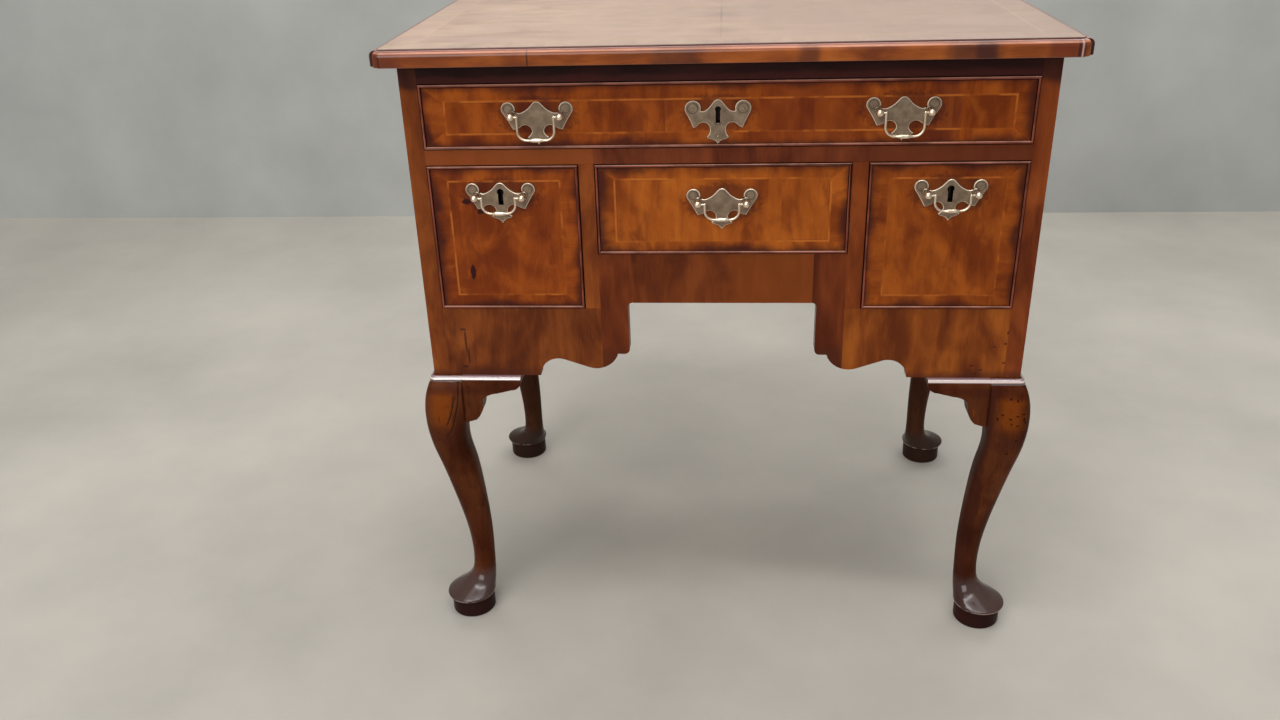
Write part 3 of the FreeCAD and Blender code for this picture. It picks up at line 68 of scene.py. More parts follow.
# Half the width over which a crisp line fades.
CRISP = 0.1 * MM


# Finishes. A finish is a material whose nodes are written as sums.

class Wire:
    """A socket of a finish. Python's own signs add the nodes that work a value out."""

    def __init__(self, finish, socket):
        self.finish = finish
        self.socket = socket

    def maths(self, operation, *others):
        return self.finish.node("Math", {"operation": operation}, self, *others)

    def __add__(self, other):
        return self.maths("ADD", other)

    def __sub__(self, other):
        return self.maths("SUBTRACT", other)

    def __rsub__(self, other):
        return self.finish.node("Math", {"operation": "SUBTRACT"}, other, self)

    def __mul__(self, other):
        return self.maths("MULTIPLY", other)

    def __truediv__(self, other):
        return self.maths("DIVIDE", other)

    def __abs__(self):
        return self.maths("ABSOLUTE")

    __radd__ = __add__
    __rmul__ = __mul__

    def least(self, other):
        return self.maths("MINIMUM", other)

    def most(self, other):
        return self.maths("MAXIMUM", other)

    def squared(self):
        return self.maths("POWER", 2.0)

    def fade(self, low, high, first, last):
        """The first value below the low level, the last above the high one, smooth between."""
        return self.finish.node("MapRange", {"interpolation_type": "SMOOTHSTEP"}, self, low, high,
                                first, last)

    def rise(self, low, high):
        return self.fade(low, high, 0.0, 1.0)

    def fall(self, low, high):
        return self.fade(low, high, 1.0, 0.0)


class Finish:
    """A material with a Principled shader, made node by node."""

    def __init__(self, name, **constants):
        self.material = bpy.data.materials.new(name)
        self.material.use_nodes = True
        self.tree = self.material.node_tree
        self.shader = self.tree.nodes["Principled BSDF"]
        for socket, number in constants.items():
            self.shader.inputs[socket.replace("_", " ")].default_value = number
        from_piece = self.node("TexCoord", {}).socket.node
        self.place = Wire(self, from_piece.outputs["Object"])
        parts = self.node("SeparateXYZ", {}, self.place).socket.node
        self.x, self.y, self.z = (Wire(self, socket) for socket in parts.outputs)
        facing = self.node("SeparateXYZ", {}, Wire(self, from_piece.outputs["Normal"])).socket.node
        # 1 where the surface looks up, 0 where it is upright and -1 where it looks down.
        self.upward = Wire(self, facing.outputs["Z"])

    def node(self, kind, settings, *values, **named):
        """Add a node: its settings first, then the values or links of its sockets."""
        made = self.tree.nodes.new(f"ShaderNode{kind}")
        stops = settings.pop("stops", ())
        for setting, choice in settings.items():
            setattr(made, setting, choice)
        for index, (position, colour) in enumerate(stops):
            stops_made = made.color_ramp.elements
            stop = stops_made[index] if index < 2 else stops_made.new(position)
            stop.position = position
            stop.color = (*colour, 1)
        sockets = [socket for socket in made.inputs if socket.enabled]
        for socket, given in [*zip(sockets, values), *((made.inputs[key], given)
                                                       for key, given in named.items())]:
            if isinstance(given, Wire):
                self.tree.links.new(given.socket, socket)
            else:
                socket.default_value = (*given, 1) if socket.type == "RGBA" else given
        return Wire(self, next(socket for socket in made.outputs if socket.enabled))

    def noise(self, where, scale, detail=3.0, roughness=0.55, distortion=0.0):
        return self.node("TexNoise", {}, Vector=where, Scale=scale, Detail=detail,
                         Roughness=roughness, Distortion=distortion)

    def axis(self, letter):
        return {"X": self.x, "Y": self.y, "Z": self.z}[letter]

    def grain(self, letter):
        """The three axes, with the one that the grain runs along first."""
        return {"X": (self.x, self.z, self.y), "Y": (self.y, self.x, self.z),
                "Z": (self.z, self.x, self.y)}[letter]

    def join(self, x, y, z):
        return self.node("CombineXYZ", {}, x, y, z)

    def stretch(self, where, shares):
        return self.node("VectorMath", {"operation": "MULTIPLY"}, where, shares)

    def mix(self, share, first, second):
        return self.node("Mix", {"data_type": "RGBA", "clamp_factor": True}, share, first, second)

    def ramp(self, share, *stops):
        return self.node("ValToRGB", {"stops": stops}, share)

    def bump(self, height, depth, strength):
        return self.node("Bump", {}, Strength=strength, Distance=depth, Height=height)

    def wear(self, **links):
        """Link what varies over the surface to the shader."""
        for socket, link in links.items():
            self.tree.links.new(link.socket, self.shader.inputs[socket.replace("_", " ")])
        return self.material


# Colours.

def shade(red, green, blue):
    """A colour as it looks on a screen, given from 0 to 255, as the shader wants it."""
    return tuple(((part / 255 + 0.055) / 1.055) ** 2.4 if part > 10 else part / 255 / 12.92
                 for part in (red, green, blue))


# A wood's four tones, from its dark streaks to its pale ones, as steps from its middle colour, and
# how much its red, its green and its blue follow them.
TONE_STEPS = (-1.6, -0.4, 0.5, 1.5)
TONE_REACH = (0.42, 0.55, 0.6)


def tones(red, green, blue, spread=1.0):
    """The four tones of a wood about its middle colour."""
    return tuple(tuple(part * 2 ** (spread * step * reach)
                       for part, reach in zip(shade(red, green, blue), TONE_REACH))
                 for step in TONE_STEPS)


PLUM = shade(50, 16, 16)
PORE = shade(44, 18, 8)

DARK_LEAF = shade(104, 40, 12)
DARK_SMEAR = shade(82, 28, 14)
PALE_SMEAR = shade(166, 86, 26)
FEATHER = shade(188, 104, 38)

KNEE = shade(124, 60, 14)
DARK_SPECK = shade(26, 12, 8)
PALE_SPECK = shade(140, 70, 26)
CHIPS_AND_GLINT = shade(176, 150, 138)
WORM_HOLE = shade(40, 14, 6)

# Painted light on the ledges above the knees: a sheen on the top, a highlight on the nose and shade
# underneath.
LEDGE_TOP_SHEEN = shade(150, 120, 124)
LEDGE_NOSE_HIGHLIGHT = shade(236, 214, 208)
LEDGE_UNDER_SHADE = shade(48, 20, 16)

TOP_HAZE_AND_SHEEN = shade(194, 154, 134)
TOP_RIGHT_SHADE = shade(146, 112, 92)
TOP_LINE = shade(208, 172, 128)
TOP_JOINT = shade(74, 34, 24)

# Painted light on the top's mouldings: a highlight on the nose, shade in the quirk, a sheen on the
# flat and light on the faces that look down.
NOSE = shade(206, 138, 108)
QUIRK_SHADE = shade(104, 46, 34)
EDGE_FLAT_SHEEN = shade(182, 126, 114)
EDGE_UNDER_LIGHT = shade(170, 112, 90)

BEAD_LIT = shade(190, 138, 118)
BEAD_CREST = shade(168, 92, 76)
DRY_STAIN = shade(96, 70, 44)

DULL_BRASS, DULL_BRASS_PALE = shade(108, 88, 70), shade(144, 124, 102)
BRASS_SPOT = shade(84, 64, 50)
BRASS_GROOVE = shade(58, 42, 30)
BRASS_RIM = shade(240, 220, 194)
BRASS_ROOT_SHADE = shade(30, 18, 12)
CAST_BRASS, CAST_BRASS_PALE = shade(222, 198, 170), shade(248, 234, 212)
CAST_BRASS_BROWN = shade(112, 88, 66)
IRON, IRON_PALE = shade(40, 32, 28), shade(78, 72, 68)
HOLE = shade(16, 8, 6)

CONCRETE = shade(184, 178, 168)
WALL = shade(180, 181, 178)
AIR = shade(206, 208, 208)


# Walnut.

def figure(finish, along, across, deep, colours, seed, flame=1.0):
    """The colour of figured walnut, whose grain runs along the first of three wires.

    Broad patches, streaks and fine lines are each drawn out along the grain, and pores lie over
    them. The flame is how much the patches and the streaks wander.
    """
    where = finish.join(along + seed, across + seed * 1.7, deep - seed)
    patches = finish.noise(finish.stretch(where, (1.0, 1.6, 1.6)), 9.0, 2.0, 0.5, 1.2 * flame)
    streaks = finish.noise(finish.stretch(where, (1.0, 4.6, 4.6)), 13.0, 3.0, 0.55, 0.6 * flame)
    fine = finish.noise(finish.stretch(where, (1.0, 22.0, 22.0)), 55.0, 3.0, 0.6)
    share = patches * 0.54 + streaks * 0.34 + fine * 0.12
    dark, middle, light, pale = colours
    wood = finish.ramp(share, (0.4, dark), (0.47, middle), (0.53, light), (0.62, pale))
    pores = finish.noise(finish.stretch(where, (1.0, 14.0, 14.0)), 220.0, 2.0, 0.5)
    wood = finish.mix(pores.rise(0.6, 0.72) * 0.3, wood, PORE)
    return wood, fine, pores


def polish(finish, wood, fine, pores, roughness=0.3, **links):
    """Give wood its worn polish: a sheen that varies, and grain that can just be felt."""
    cloud = finish.noise(finish.place, 9.0, 3.0, 0.5)
    rough = roughness + 0.12 * cloud.rise(0.35, 0.7) + 0.1 * pores.rise(0.6, 0.72)
    height = fine * 0.3 - pores.rise(0.58, 0.72) * 0.5 + finish.noise(finish.place, 55.0, 2.0)
    return finish.wear(Base_Color=wood, Roughness=rough,
                       Normal=finish.bump(height, 0.2 * MM, 0.4), **links)


def spots_on(finish, spots):
    """Where dark spots are.

    A spot is its place across and up, its half width and its half height, in millimetres.
    """
    marks = None
    ragged = finish.noise(finish.place, 260.0, 3.0) * 1.4 - 0.7
    for across, up, wide, high in spots:
        reach = ((finish.x - across * MM) / (wide * MM)).squared() \
            + ((finish.z - up * MM) / (high * MM)).squared() + ragged
        mark = reach.fall(0.7, 1.3)
        marks = mark if marks is None else marks.most(mark)
    return marks


def zoned(finish, wood, zones):
    """Lay other colours over parts of a wood.

    A zone is an axis, its two limits and the width of their fading in millimetres, a colour, and
    how much of it there is.
    """
    ragged = finish.noise(finish.place, 34.0, 3.0, 0.55) - 0.5
    for axis, low, high, fade, colour, share in zones:
        where = finish.axis(axis) + ragged * (fade * 3 * MM)
        inside = where.rise((low - fade) * MM, (low + fade) * MM) \
            * where.fall((high - fade) * MM, (high + fade) * MM)
        wood = finish.mix(inside * share, wood, shade(*colour))
    return wood


def inward(wire, low, high):
    """How far in a place is from the nearer of two sides."""
    return (wire - low).least(high - wire)


# On a drawer front: the slope of the mitre between a side band and an end band, and how far each
# leaf of the field and the whole band are shifted along the log, so that no two are alike.
MITRE = 0.8
LEAF_SHIFT, BAND_SHIFT = 3.1, 2.3


def drawer_face(name, front, seed, colour, line, plates, joints=(), spots=(), slant=0.0,
                zones=()):
    """Crossbanded veneer on a drawer front, with a pale feather line inside the band.

    The line is a rectangle: its left, right, lower and upper sides in millimetres. The joints are
    places across between the leaves of the field, whose grain leans by the slant. Old polish has
    darkened round the plates, and these stains are given as spots.
    """
    low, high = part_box(front)
    finish = Finish(name, Specular_IOR_Level=0.08, Coat_Weight=0.1, Coat_Roughness=0.12)
    left, right, bottom, top = (side * MM for side in line)
    to_line = inward(finish.x, left, right).least(inward(finish.z, bottom, top))
    field = to_line.rise(-CRISP, CRISP)
    from_side = inward(finish.x, low.x, high.x)
    from_end = inward(finish.z, low.z, high.z)
    side_band = (from_side * MITRE - from_end).fall(-CRISP, CRISP) * (1.0 - field)
    leaf = seed
    for joint in joints:
        leaf = leaf + (finish.x - joint * MM).rise(-CRISP, CRISP) * field * LEAF_SHIFT
    upright = 1.0 - side_band
    along = finish.z * upright + finish.x * side_band + finish.x * slant * field
    across = finish.x * upright + finish.z * side_band
    wood, fine, pores = figure(finish, along, across + (1.0 - field) * BAND_SHIFT, finish.y,
                               tones(*colour), leaf)
    tone = finish.noise(finish.join(leaf, leaf, 0.0), 5.0, 1.0)
    wood = finish.mix(tone.rise(0.35, 0.65) * 0.35, wood, DARK_LEAF)
    smears = finish.noise(finish.stretch(finish.place, (1.0, 1.0, 0.6)), 36.0, 4.0, 0.6, 0.8)
    wood = finish.mix(smears.rise(0.52, 0.68) * 0.38, wood, DARK_SMEAR)
    wood = finish.mix(smears.fall(0.34, 0.46) * 0.3, wood, PALE_SMEAR)
    wood = zoned(finish, wood, zones)
    wood = finish.mix(spots_on(finish, plates) * 0.5, wood, PLUM)
    faded = finish.noise(finish.place, 30.0, 3.0).rise(0.44, 0.6)
    feather = abs(to_line).fall(0.4 * MM, 1.8 * MM) * (0.08 + 0.6 * faded)
    wood = finish.mix(feather, wood, FEATHER)
    seam = abs(to_line - 1.4 * MM).fall(0.2 * MM, 0.6 * MM) * faded * 0.3
    wood = finish.mix(seam, wood, PLUM)
    cloud = finish.noise(finish.place, 22.0, 3.0, 0.5)
    edge = from_side.least(from_end + 2 * MM)
    grime = (edge + (0.5 - cloud) * (30 * MM)).fall(2 * MM, 14 * MM) * 0.8
    if spots:
        grime = grime.most(spots_on(finish, spots))
    return polish(finish, finish.mix(grime, wood, PLUM), fine, pores)


def plain_walnut(name, grain, seed, colour, spread=1.0, zones=(), spots=()):
    """Polished walnut whose grain runs along one axis."""
    finish = Finish(name, Specular_IOR_Level=0.1, Coat_Weight=0.1, Coat_Roughness=0.12)
    wood, fine, pores = figure(finish, *finish.grain(grain), tones(*colour, spread), seed)
    wood = zoned(finish, wood, zones)
    if spots:
        wood = finish.mix(spots_on(finish, spots) * 0.7, wood, PLUM)
    return polish(finish, wood, fine, pores)


# The height of the disc under each pad foot, and of the pale rim above it, in millimetres.
DISC_TOP = 24.0
PAD_RIM_TOP = DISC_TOP + 2.6


def leg_walnut(name, zones=(), spots=(), pad_colour=(68, 50, 46), gloss=0.9):
    """Dark solid walnut: orange on the knees, nearly black and glossy at the feet."""
    finish = Finish(name, Specular_IOR_Level=0.03, Coat_Roughness=0.16)
    wood, fine, pores = figure(finish, *finish.grain("Z"), tones(74, 35, 17, 1.1), 25.0, 0.8)
    cloud = finish.noise(finish.place, 40.0, 3.0) - 0.5
    across = abs(finish.x) + cloud * (16 * MM)
    up = finish.z + cloud * (30 * MM)
    knee = across.rise(312 * MM, 326 * MM) * across.fall(336 * MM, 352 * MM) \
        * up.rise(270 * MM, 300 * MM) * up.fall(322 * MM, 342 * MM)
    wood = finish.mix(knee * 0.75, wood, KNEE)
    specks = finish.noise(finish.stretch(finish.place, (1.0, 1.0, 0.35)), 150.0, 3.0, 0.6)
    wood = finish.mix(specks.rise(0.6, 0.7) * 0.4, wood, DARK_SPECK)
    wood = finish.mix(specks.fall(0.3, 0.38) * 0.25, wood, PALE_SPECK)
    # Painted shade under the ledge.
    shade_under_ledge = ("Z", 328, 338, 4, (60, 24, 16), 0.5)
    under_knee = ("Z", 262, 286, 8, (58, 26, 20), 0.4)
    # The pad's greyish brown is partly scuffed haze and partly a painted sheen.
    foot = ("Z", -10, 52, 8, pad_colour, 0.85)
    disc = ("Z", -10, DISC_TOP + 1.5, 0.3, (44, 24, 20), 0.95)
    wood = zoned(finish, wood, (shade_under_ledge, under_knee, foot, disc) + zones)
    # The pad's rim is pale in broken flecks, partly chips in its edge and partly a painted
    # highlight.
    rim_flecks = finish.noise(finish.place, 90.0, 3.0).rise(0.46, 0.56)
    rim = abs(finish.z - PAD_RIM_TOP * MM).fall(0.3 * MM, 0.9 * MM)
    wood = finish.mix(rim * rim_flecks * 0.8, wood, CHIPS_AND_GLINT)
    if spots:
        wood = finish.mix(spots_on(finish, spots) * 0.85, wood, WORM_HOLE)
    pad = finish.z.fall(42 * MM, 65 * MM) * finish.z.rise(DISC_TOP * MM, (DISC_TOP + 2) * MM)
    return polish(finish, wood, fine, pores, 0.26, Coat_Weight=gloss * pad)


def ledge_walnut(name):
    """The ledges above the knees: a painted sheen on their tops, a painted highlight along their
    noses and painted shade on the faces that look down.
    """
    finish = Finish(name, Specular_IOR_Level=0.5, Coat_Weight=1.0, Coat_IOR=2.0,
                    Coat_Roughness=0.1)
    wood, fine, pores = figure(finish, finish.x, finish.y, finish.z, tones(92, 62, 58, 0.6), 31.0)
    wood = finish.mix(finish.upward.rise(0.66, 0.8) * 0.75, wood, LEDGE_TOP_SHEEN)
    nose = finish.upward.rise(0.2, 0.4) * finish.upward.fall(0.62, 0.78)
    wood = finish.mix(nose * 0.85, wood, LEDGE_NOSE_HIGHLIGHT)
    wood = finish.mix(finish.upward.fall(0.04, 0.16) * 0.7, wood, LEDGE_UNDER_SHADE)
    return finish.wear(Base_Color=wood, Roughness=0.2 + fine * 0.1,
                       Normal=finish.bump(fine * 0.3, 0.1 * MM, 0.4))


# On the top, in millimetres: the width of its crossbanding, and how far to the left of the middle
# and in front of it the four leaves meet.
TOP_BAND = 34
MEET_LEFT, MEET_FRONT = 2, 33


def top_veneer(name):
    """Four matched leaves of faded walnut within a crossbanded border, under a pale haze that is
    partly a painted sheen, with painted shade darkening it towards the right.
    """
    low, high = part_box("top_board")
    finish = Finish(name, Specular_IOR_Level=0.4, Coat_Weight=0.6, Coat_Roughness=0.22)
    from_side = inward(finish.x, low.x, high.x)
    from_end = inward(finish.y, low.y, high.y)
    band = TOP_BAND * MM
    side_band = (from_side - band).fall(-CRISP, CRISP) * (from_side - from_end).fall(-CRISP, CRISP)
    to_line = (from_side - band).least(from_end - band)
    field = to_line.rise(-CRISP, CRISP)
    leaf_x = abs(finish.x + MEET_LEFT * MM)
    leaf_y = abs(finish.y + MEET_FRONT * MM)
    upright = 1.0 - side_band
    border = 1.0 - field
    along = leaf_x * field + (finish.y * upright + finish.x * side_band) * border
    across = leaf_y * field + (finish.x * upright + finish.y * side_band) * border
    wood, fine, pores = figure(finish, along, across + field * 1.3, finish.z,
                               tones(188, 150, 122, 0.4), 4.4)
    # A pale haze, partly faded polish and partly a painted sheen, then painted shade that darkens
    # the top towards the right.
    hazy = finish.noise(finish.stretch(finish.place, (1.0, 3.0, 1.0)), 7.0, 3.0, 0.5)
    wood = finish.mix(hazy.rise(0.42, 0.62) * 0.5, wood, TOP_HAZE_AND_SHEEN)
    wood = finish.mix(finish.x.rise(-350 * MM, 300 * MM) * 0.5, wood, TOP_RIGHT_SHADE)
    wood = finish.mix(abs(to_line).fall(0.9 * MM, 1.2 * MM) * 0.4, wood, TOP_LINE)
    joint = leaf_x.least(leaf_y).fall(0.3 * MM, 0.9 * MM) * field * 0.2
    arms = leaf_x.fall(0.6 * MM, 2 * MM) * leaf_y.fall(20 * MM, 80 * MM) \
        + leaf_y.fall(1.5 * MM, 5 * MM) * leaf_x.fall(4 * MM, 16 * MM)
    heart = (leaf_x * 2.0 + leaf_y * 0.6).fall(1 * MM, 7 * MM)
    cross = (arms * 0.4).most(heart * 0.7)
    rim = from_side.least(from_end).fall(0.8 * MM, 3 * MM) * 0.85
    dark = joint.most(cross).most(rim)
    return polish(finish, finish.mix(dark, wood, TOP_JOINT), fine, pores)


def moulding_walnut(name, grain, seed, colour, zones):
    """Walnut along the edge of the top, over a darker upright face: painted highlights on the nose
    and the flat of its rounded upper edge, painted shade in a line between them, and painted light
    on the faces that look down.
    """
    finish = Finish(name, Specular_IOR_Level=0.2, Coat_Weight=0.5, Coat_Roughness=0.15)
    wood, fine, pores = figure(finish, *finish.grain(grain), tones(*colour), seed)
    wood = zoned(finish, wood, zones)
    wear_and_sheen = 0.6 + 0.4 * finish.noise(finish.place, 14.0, 3.0).rise(0.4, 0.6)
    # Painted by how each face looks: a highlight on the nose, shade in the quirk, a sheen on the
    # flat and paler faces that look down.
    nose = finish.upward.rise(0.45, 0.66) * finish.upward.fall(0.86, 0.92)
    wood = finish.mix(nose * wear_and_sheen * 0.8, wood, NOSE)
    quirk = finish.upward.rise(0.86, 0.92) * finish.upward.fall(0.975, 0.995)
    wood = finish.mix(quirk * 0.85, wood, QUIRK_SHADE)
    flat = finish.upward.rise(0.975, 0.995)
    wood = finish.mix(flat * wear_and_sheen * 0.85, wood, EDGE_FLAT_SHEEN)
    wood = zoned(finish, wood, [(*zone, share * 0.4) for *zone, share in zones])
    wood = finish.mix(finish.upward.fall(-0.8, -0.2) * 0.4, wood, EDGE_UNDER_LIGHT)
    return finish.wear(Base_Color=wood, Roughness=0.24 + 0.14 * fine,
                       Normal=finish.bump(fine * 0.3 - pores * 0.2, 0.1 * MM, 0.5))


def cockbead_walnut(name):
    """Nearly black walnut with a polished, worn crest and a painted highlight on the upper flank of
    its round.
    """
    finish = Finish(name, Specular_IOR_Level=0.06, Coat_Weight=0.06, Coat_Roughness=0.12)
    wood, fine, pores = figure(finish, finish.x + finish.z, finish.y, finish.z,
                               tones(46, 16, 7, 0.8), 7.0)
    proud = CASE_FRONT - finish.y
    wear_and_sheen = finish.noise(finish.place, 30.0, 3.0).rise(0.35, 0.6)
    # A painted highlight on the faces of a bead that look up.
    lit = proud.rise(0.8 * MM, 1.6 * MM) * finish.upward.rise(0.3, 0.7) * (0.5 + 0.4 * wear_and_sheen)
    wood = finish.mix(lit, wood, BEAD_LIT)
    crest = proud.rise(2.1 * MM, 2.5 * MM) * abs(finish.upward).fall(0.2, 0.4)
    wood = finish.mix(crest * (0.25 + 0.35 * wear_and_sheen), wood, BEAD_CREST)
    return polish(finish, wood, fine, pores, 0.22)


def bare_wood(name, grain, seed, colour):
    """Dry wood with saw marks, as inside a drawer or a case."""
    finish = Finish(name, Specular_IOR_Level=0.25)
    wood, fine, pores = figure(finish, *finish.grain(grain), tones(*colour, 0.4), seed, 0.4)
    cloud = finish.noise(finish.place, 7.0, 5.0, 0.65)
    wood = finish.mix(cloud.rise(0.5, 0.8) * 0.25, wood, DRY_STAIN)
    return finish.wear(Base_Color=wood, Roughness=0.62 + 0.2 * fine,
                       Normal=finish.bump(fine + pores * 0.6, 0.4 * MM, 0.7))


# Brass and iron.

# The half ring engraved under the escutcheon's keyhole: the drop of its middle and of its upper
# end below the keyhole, and its radius, in millimetres.
KEY_RING_DROP, KEY_RING_END, KEY_RING_RADIUS = 13.2, 14.0, 3.4


def ringed(finish, across, up, radius):
    """A thin ring about a point."""
    away = (across * across + up * up).maths("SQRT")
    return abs(away - radius).fall(0.25 * MM, 0.6 * MM)


def plate_brass(name, level, middle=0.0, spread=0.0, wing=(30.6, 5.6), ring=4.7, key=None):
    """A dull rolled plate with a ring engraved on each wing, a bevel painted pale, partly polished
    brass and partly a painted highlight, and painted shade along the half of its edge next to the
    wood.

    The plates lie at a level, on a middle or spread to both sides of it. A wing's ring is given by
    its place across and up from the plate's own middle and by its radius, in millimetres.
    """
    finish = Finish(name, Specular_IOR_Level=0.5)
    rim = (finish.y - (PLATE_FRONT + 0.05 * MM)).rise(0.0, 0.2 * MM)
    cloud = finish.noise(finish.place, 110.0, 4.0, 0.6)
    spots = finish.noise(finish.place, 520.0, 3.0, 0.6)
    dull = finish.ramp(cloud, (0.32, DULL_BRASS), (0.7, DULL_BRASS_PALE))
    dull = finish.mix(spots.rise(0.6, 0.72) * 0.3, dull, BRASS_SPOT)
    across = abs(finish.x - middle * MM)
    if spread:
        across = abs(across - spread * MM)
    groove = ringed(finish, across - wing[0] * MM, finish.z - (level + wing[1]) * MM, ring * MM)
    if key is not None:
        under = ringed(finish, across, finish.z - (key - KEY_RING_DROP) * MM, KEY_RING_RADIUS * MM)
        lower_half = (finish.z - (key - KEY_RING_END) * MM).fall(0.0, 0.4 * MM)
        groove = groove.most(under * lower_half)
    dull = finish.mix(groove * 0.75, dull, BRASS_GROOVE)
    # The bevel is painted pale: partly polished brass, partly a painted highlight.
    colour = finish.mix(rim, dull, BRASS_RIM)
    # Painted shade: the half of the plate's edge next to the wood is painted nearly black, as the
    # shadow where the plate meets the wood.
    contact_shade = (finish.y - (CASE_FRONT + PLATE_FRONT) / 2).rise(-0.1 * MM, 0.1 * MM)
    colour = finish.mix(contact_shade * 0.9, colour, BRASS_ROOT_SHADE)
    scratches = finish.noise(finish.stretch(finish.place, (1.0, 1.0, 9.0)), 700.0, 2.0)
    return finish.wear(
        Base_Color=colour, Metallic=(0.45 - 0.15 * rim) * (1.0 - contact_shade),
        Roughness=0.42 + cloud * 0.2 - rim * 0.2,
        Normal=finish.bump(cloud * 0.5 + scratches * 0.3 - groove * 1.5, 0.1 * MM, 0.6))


def cast_brass(name):
    """Brass that fingers have kept bright, browner where they don't reach."""
    finish = Finish(name, Metallic=1.0)
    cloud = finish.noise(finish.place, 160.0, 4.0, 0.6)
    colour = finish.ramp(cloud, (0.3, CAST_BRASS), (0.7, CAST_BRASS_PALE))
    near_plate = (CASE_FRONT - finish.y).fall(2 * MM, 9 * MM)
    colour = finish.mix(near_plate * 0.6, colour, CAST_BRASS_BROWN)
    return finish.wear(Base_Color=colour, Roughness=0.28 + cloud * 0.14,
                       Normal=finish.bump(cloud, 0.1 * MM, 0.2))


def iron(name):
    """Blackened iron."""
    finish = Finish(name, Metallic=0.9)
    cloud = finish.noise(finish.place, 90.0, 6.0, 0.7)
    colour = finish.ramp(cloud, (0.3, IRON), (0.7, IRON_PALE))
    return finish.wear(Base_Color=colour, Roughness=0.5 + cloud * 0.3,
                       Normal=finish.bump(cloud, 0.3 * MM, 0.6))


# Pieces.

# How near two places are that count as one, and how flat faces are that count as one, in degrees.
# Faces that meet more sharply than a crease are shaded apart.
WELD = 1e-6
TOUCH = 1e-5
FLAT = 0.4
CREASE = 38


def dress(node, *finishes, rules=(), flats=True, sharp=40.0, shape=None):
    """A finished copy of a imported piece, with its hard edges worn round.

    A rule is a test of an edge's two ends and the width of its worn edge in millimetres. The first
    rule that a sharp edge passes holds for it. A shape is a function that works on the copy.
    """
    name = f"{node}_finished"
    mesh = frame["nodes"][node].data.copy()
    mesh.name = name
    mesh.materials.clear()
    work = bmesh.new()
    work.from_mesh(mesh)
    bmesh.ops.remove_doubles(work, verts=work.verts, dist=WELD)
    if flats:
        bmesh.ops.dissolve_limit(work, angle_limit=math.radians(FLAT), verts=work.verts,
                                 edges=work.edges)
    widths = {}
    for edge in work.edges:
        if len(edge.link_faces) == 2 and edge.calc_face_angle(0.0) > math.radians(sharp):
            for test, width in rules:
                if test(*(vert.co for vert in edge.verts)):
                    widths.setdefault(width, []).append(edge)
                    break
    for width, edges in widths.items():
        bmesh.ops.bevel(work, geom=[edge for edge in edges if edge.is_valid],
                        offset=width * MM, offset_type="OFFSET", affect="EDGES", segments=2,
                        profile=0.5, material=-1, clamp_overlap=True)
    if shape:
        shape(work)
    work.to_mesh(mesh)
    work.free()
    for finish in finishes:
        mesh.materials.append(finish)
    mesh.polygons.foreach_set("use_smooth", [True] * len(mesh.polygons))
    mesh.set_sharp_from_angle(angle=math.radians(CREASE))
    piece = bpy.data.objects.new(name, mesh)
    bpy.context.scene.collection.objects.link(piece)
    level = piece.modifiers.new("level_faces", "WEIGHTED_NORMAL")
    level.keep_sharp = True
    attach(piece, BODY_OF[node])
    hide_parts(node)
    return piece


def paint(node, finish):
    """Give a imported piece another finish."""
    slots = frame["nodes"][node].data.materials
    slots.clear()
    slots.append(finish)


def lies_on(axis, level):
    """A test of whether both ends of an edge lie at a level."""
    return lambda *ends: all(abs(getattr(end, axis) - level) < TOUCH for end in ends)


def both(*tests):
    return lambda *ends: all(test(*ends) for test in tests)


def worn(width):
    """Rules that give every sharp edge one width."""
    return ((lambda *ends: True, width),)


on_front = lies_on("y", CASE_FRONT)
front_edges = ((on_front, 0.3),) + worn(0.5)
side_edges = tuple((both(on_front, lies_on("x", side)), 1.2) for side in (SIDE, -SIDE)) \
    + front_edges


# The drawers.

oak = bare_wood("drawer_oak", "Y", 2.0, (164, 128, 86))
pine = bare_wood("case_pine", "X", 5.0, (154, 118, 78))
bright_brass = cast_brass("cast_brass")
lock_iron = iron("lock_iron")
# The walls inside the keyholes are painted nearly black, as shade.
keyhole_shade = Finish("keyhole_shade", Base_Color=(*HOLE, 1), Roughness=0.9,
                      Specular_IOR_Level=0.05).material
bead = cockbead_walnut("bead_walnut")


def round_plate(across, level, half_width=42):
    """The stain round a plate, whose middle is a little lower than the plate's posts."""
    return across, level - 2, half_width, 21


long_veneer = drawer_face(
    "long_drawer_veneer", "long_drawer_front", 1.0, (136, 62, 13), (-294, 299, 636.5, 671),
    (round_plate(LONG_MIDDLE - LONG_SPREAD, LONG_LEVEL, 43),
     round_plate(LONG_MIDDLE + LONG_SPREAD, LONG_LEVEL, 43),
     (LONG_MIDDLE, KEY_LEVEL - 4, 38, 20)),
    joints=(-232, -150, -60, 20, 95, 170, 236),
    zones=(("X", -205, -182, 6, (84, 34, 20), 0.35), ("X", 40, 130, 14, (104, 40, 14), 0.45),
           ("X", 215, 240, 8, (78, 28, 20), 0.5)))
left_veneer = drawer_face(
    "left_drawer_veneer", "left_drawer_front", 2.3, (136, 61, 11), (-299, -176, 452, 584.5),
    (round_plate(-DEEP_SPREAD, DEEP_LEVEL),),
    spots=((-280, 562, 5, 3), (-265.7, 550.1, 4, 2.5), (-280.5, 479.4, 3, 9)))
centre_veneer = drawer_face(
    "centre_drawer_veneer", "centre_drawer_front", 3.7, (150, 74, 18), (-116, 116, 515, 585.5),
    (round_plate(0, SHALLOW_LEVEL),), joints=(64,), slant=0.4)
right_veneer = drawer_face(
    "right_drawer_veneer", "right_drawer_front", 5.2, (136, 64, 13), (177, 299, 451, 584.5),
    (round_plate(DEEP_SPREAD, DEEP_LEVEL),), slant=0.3)

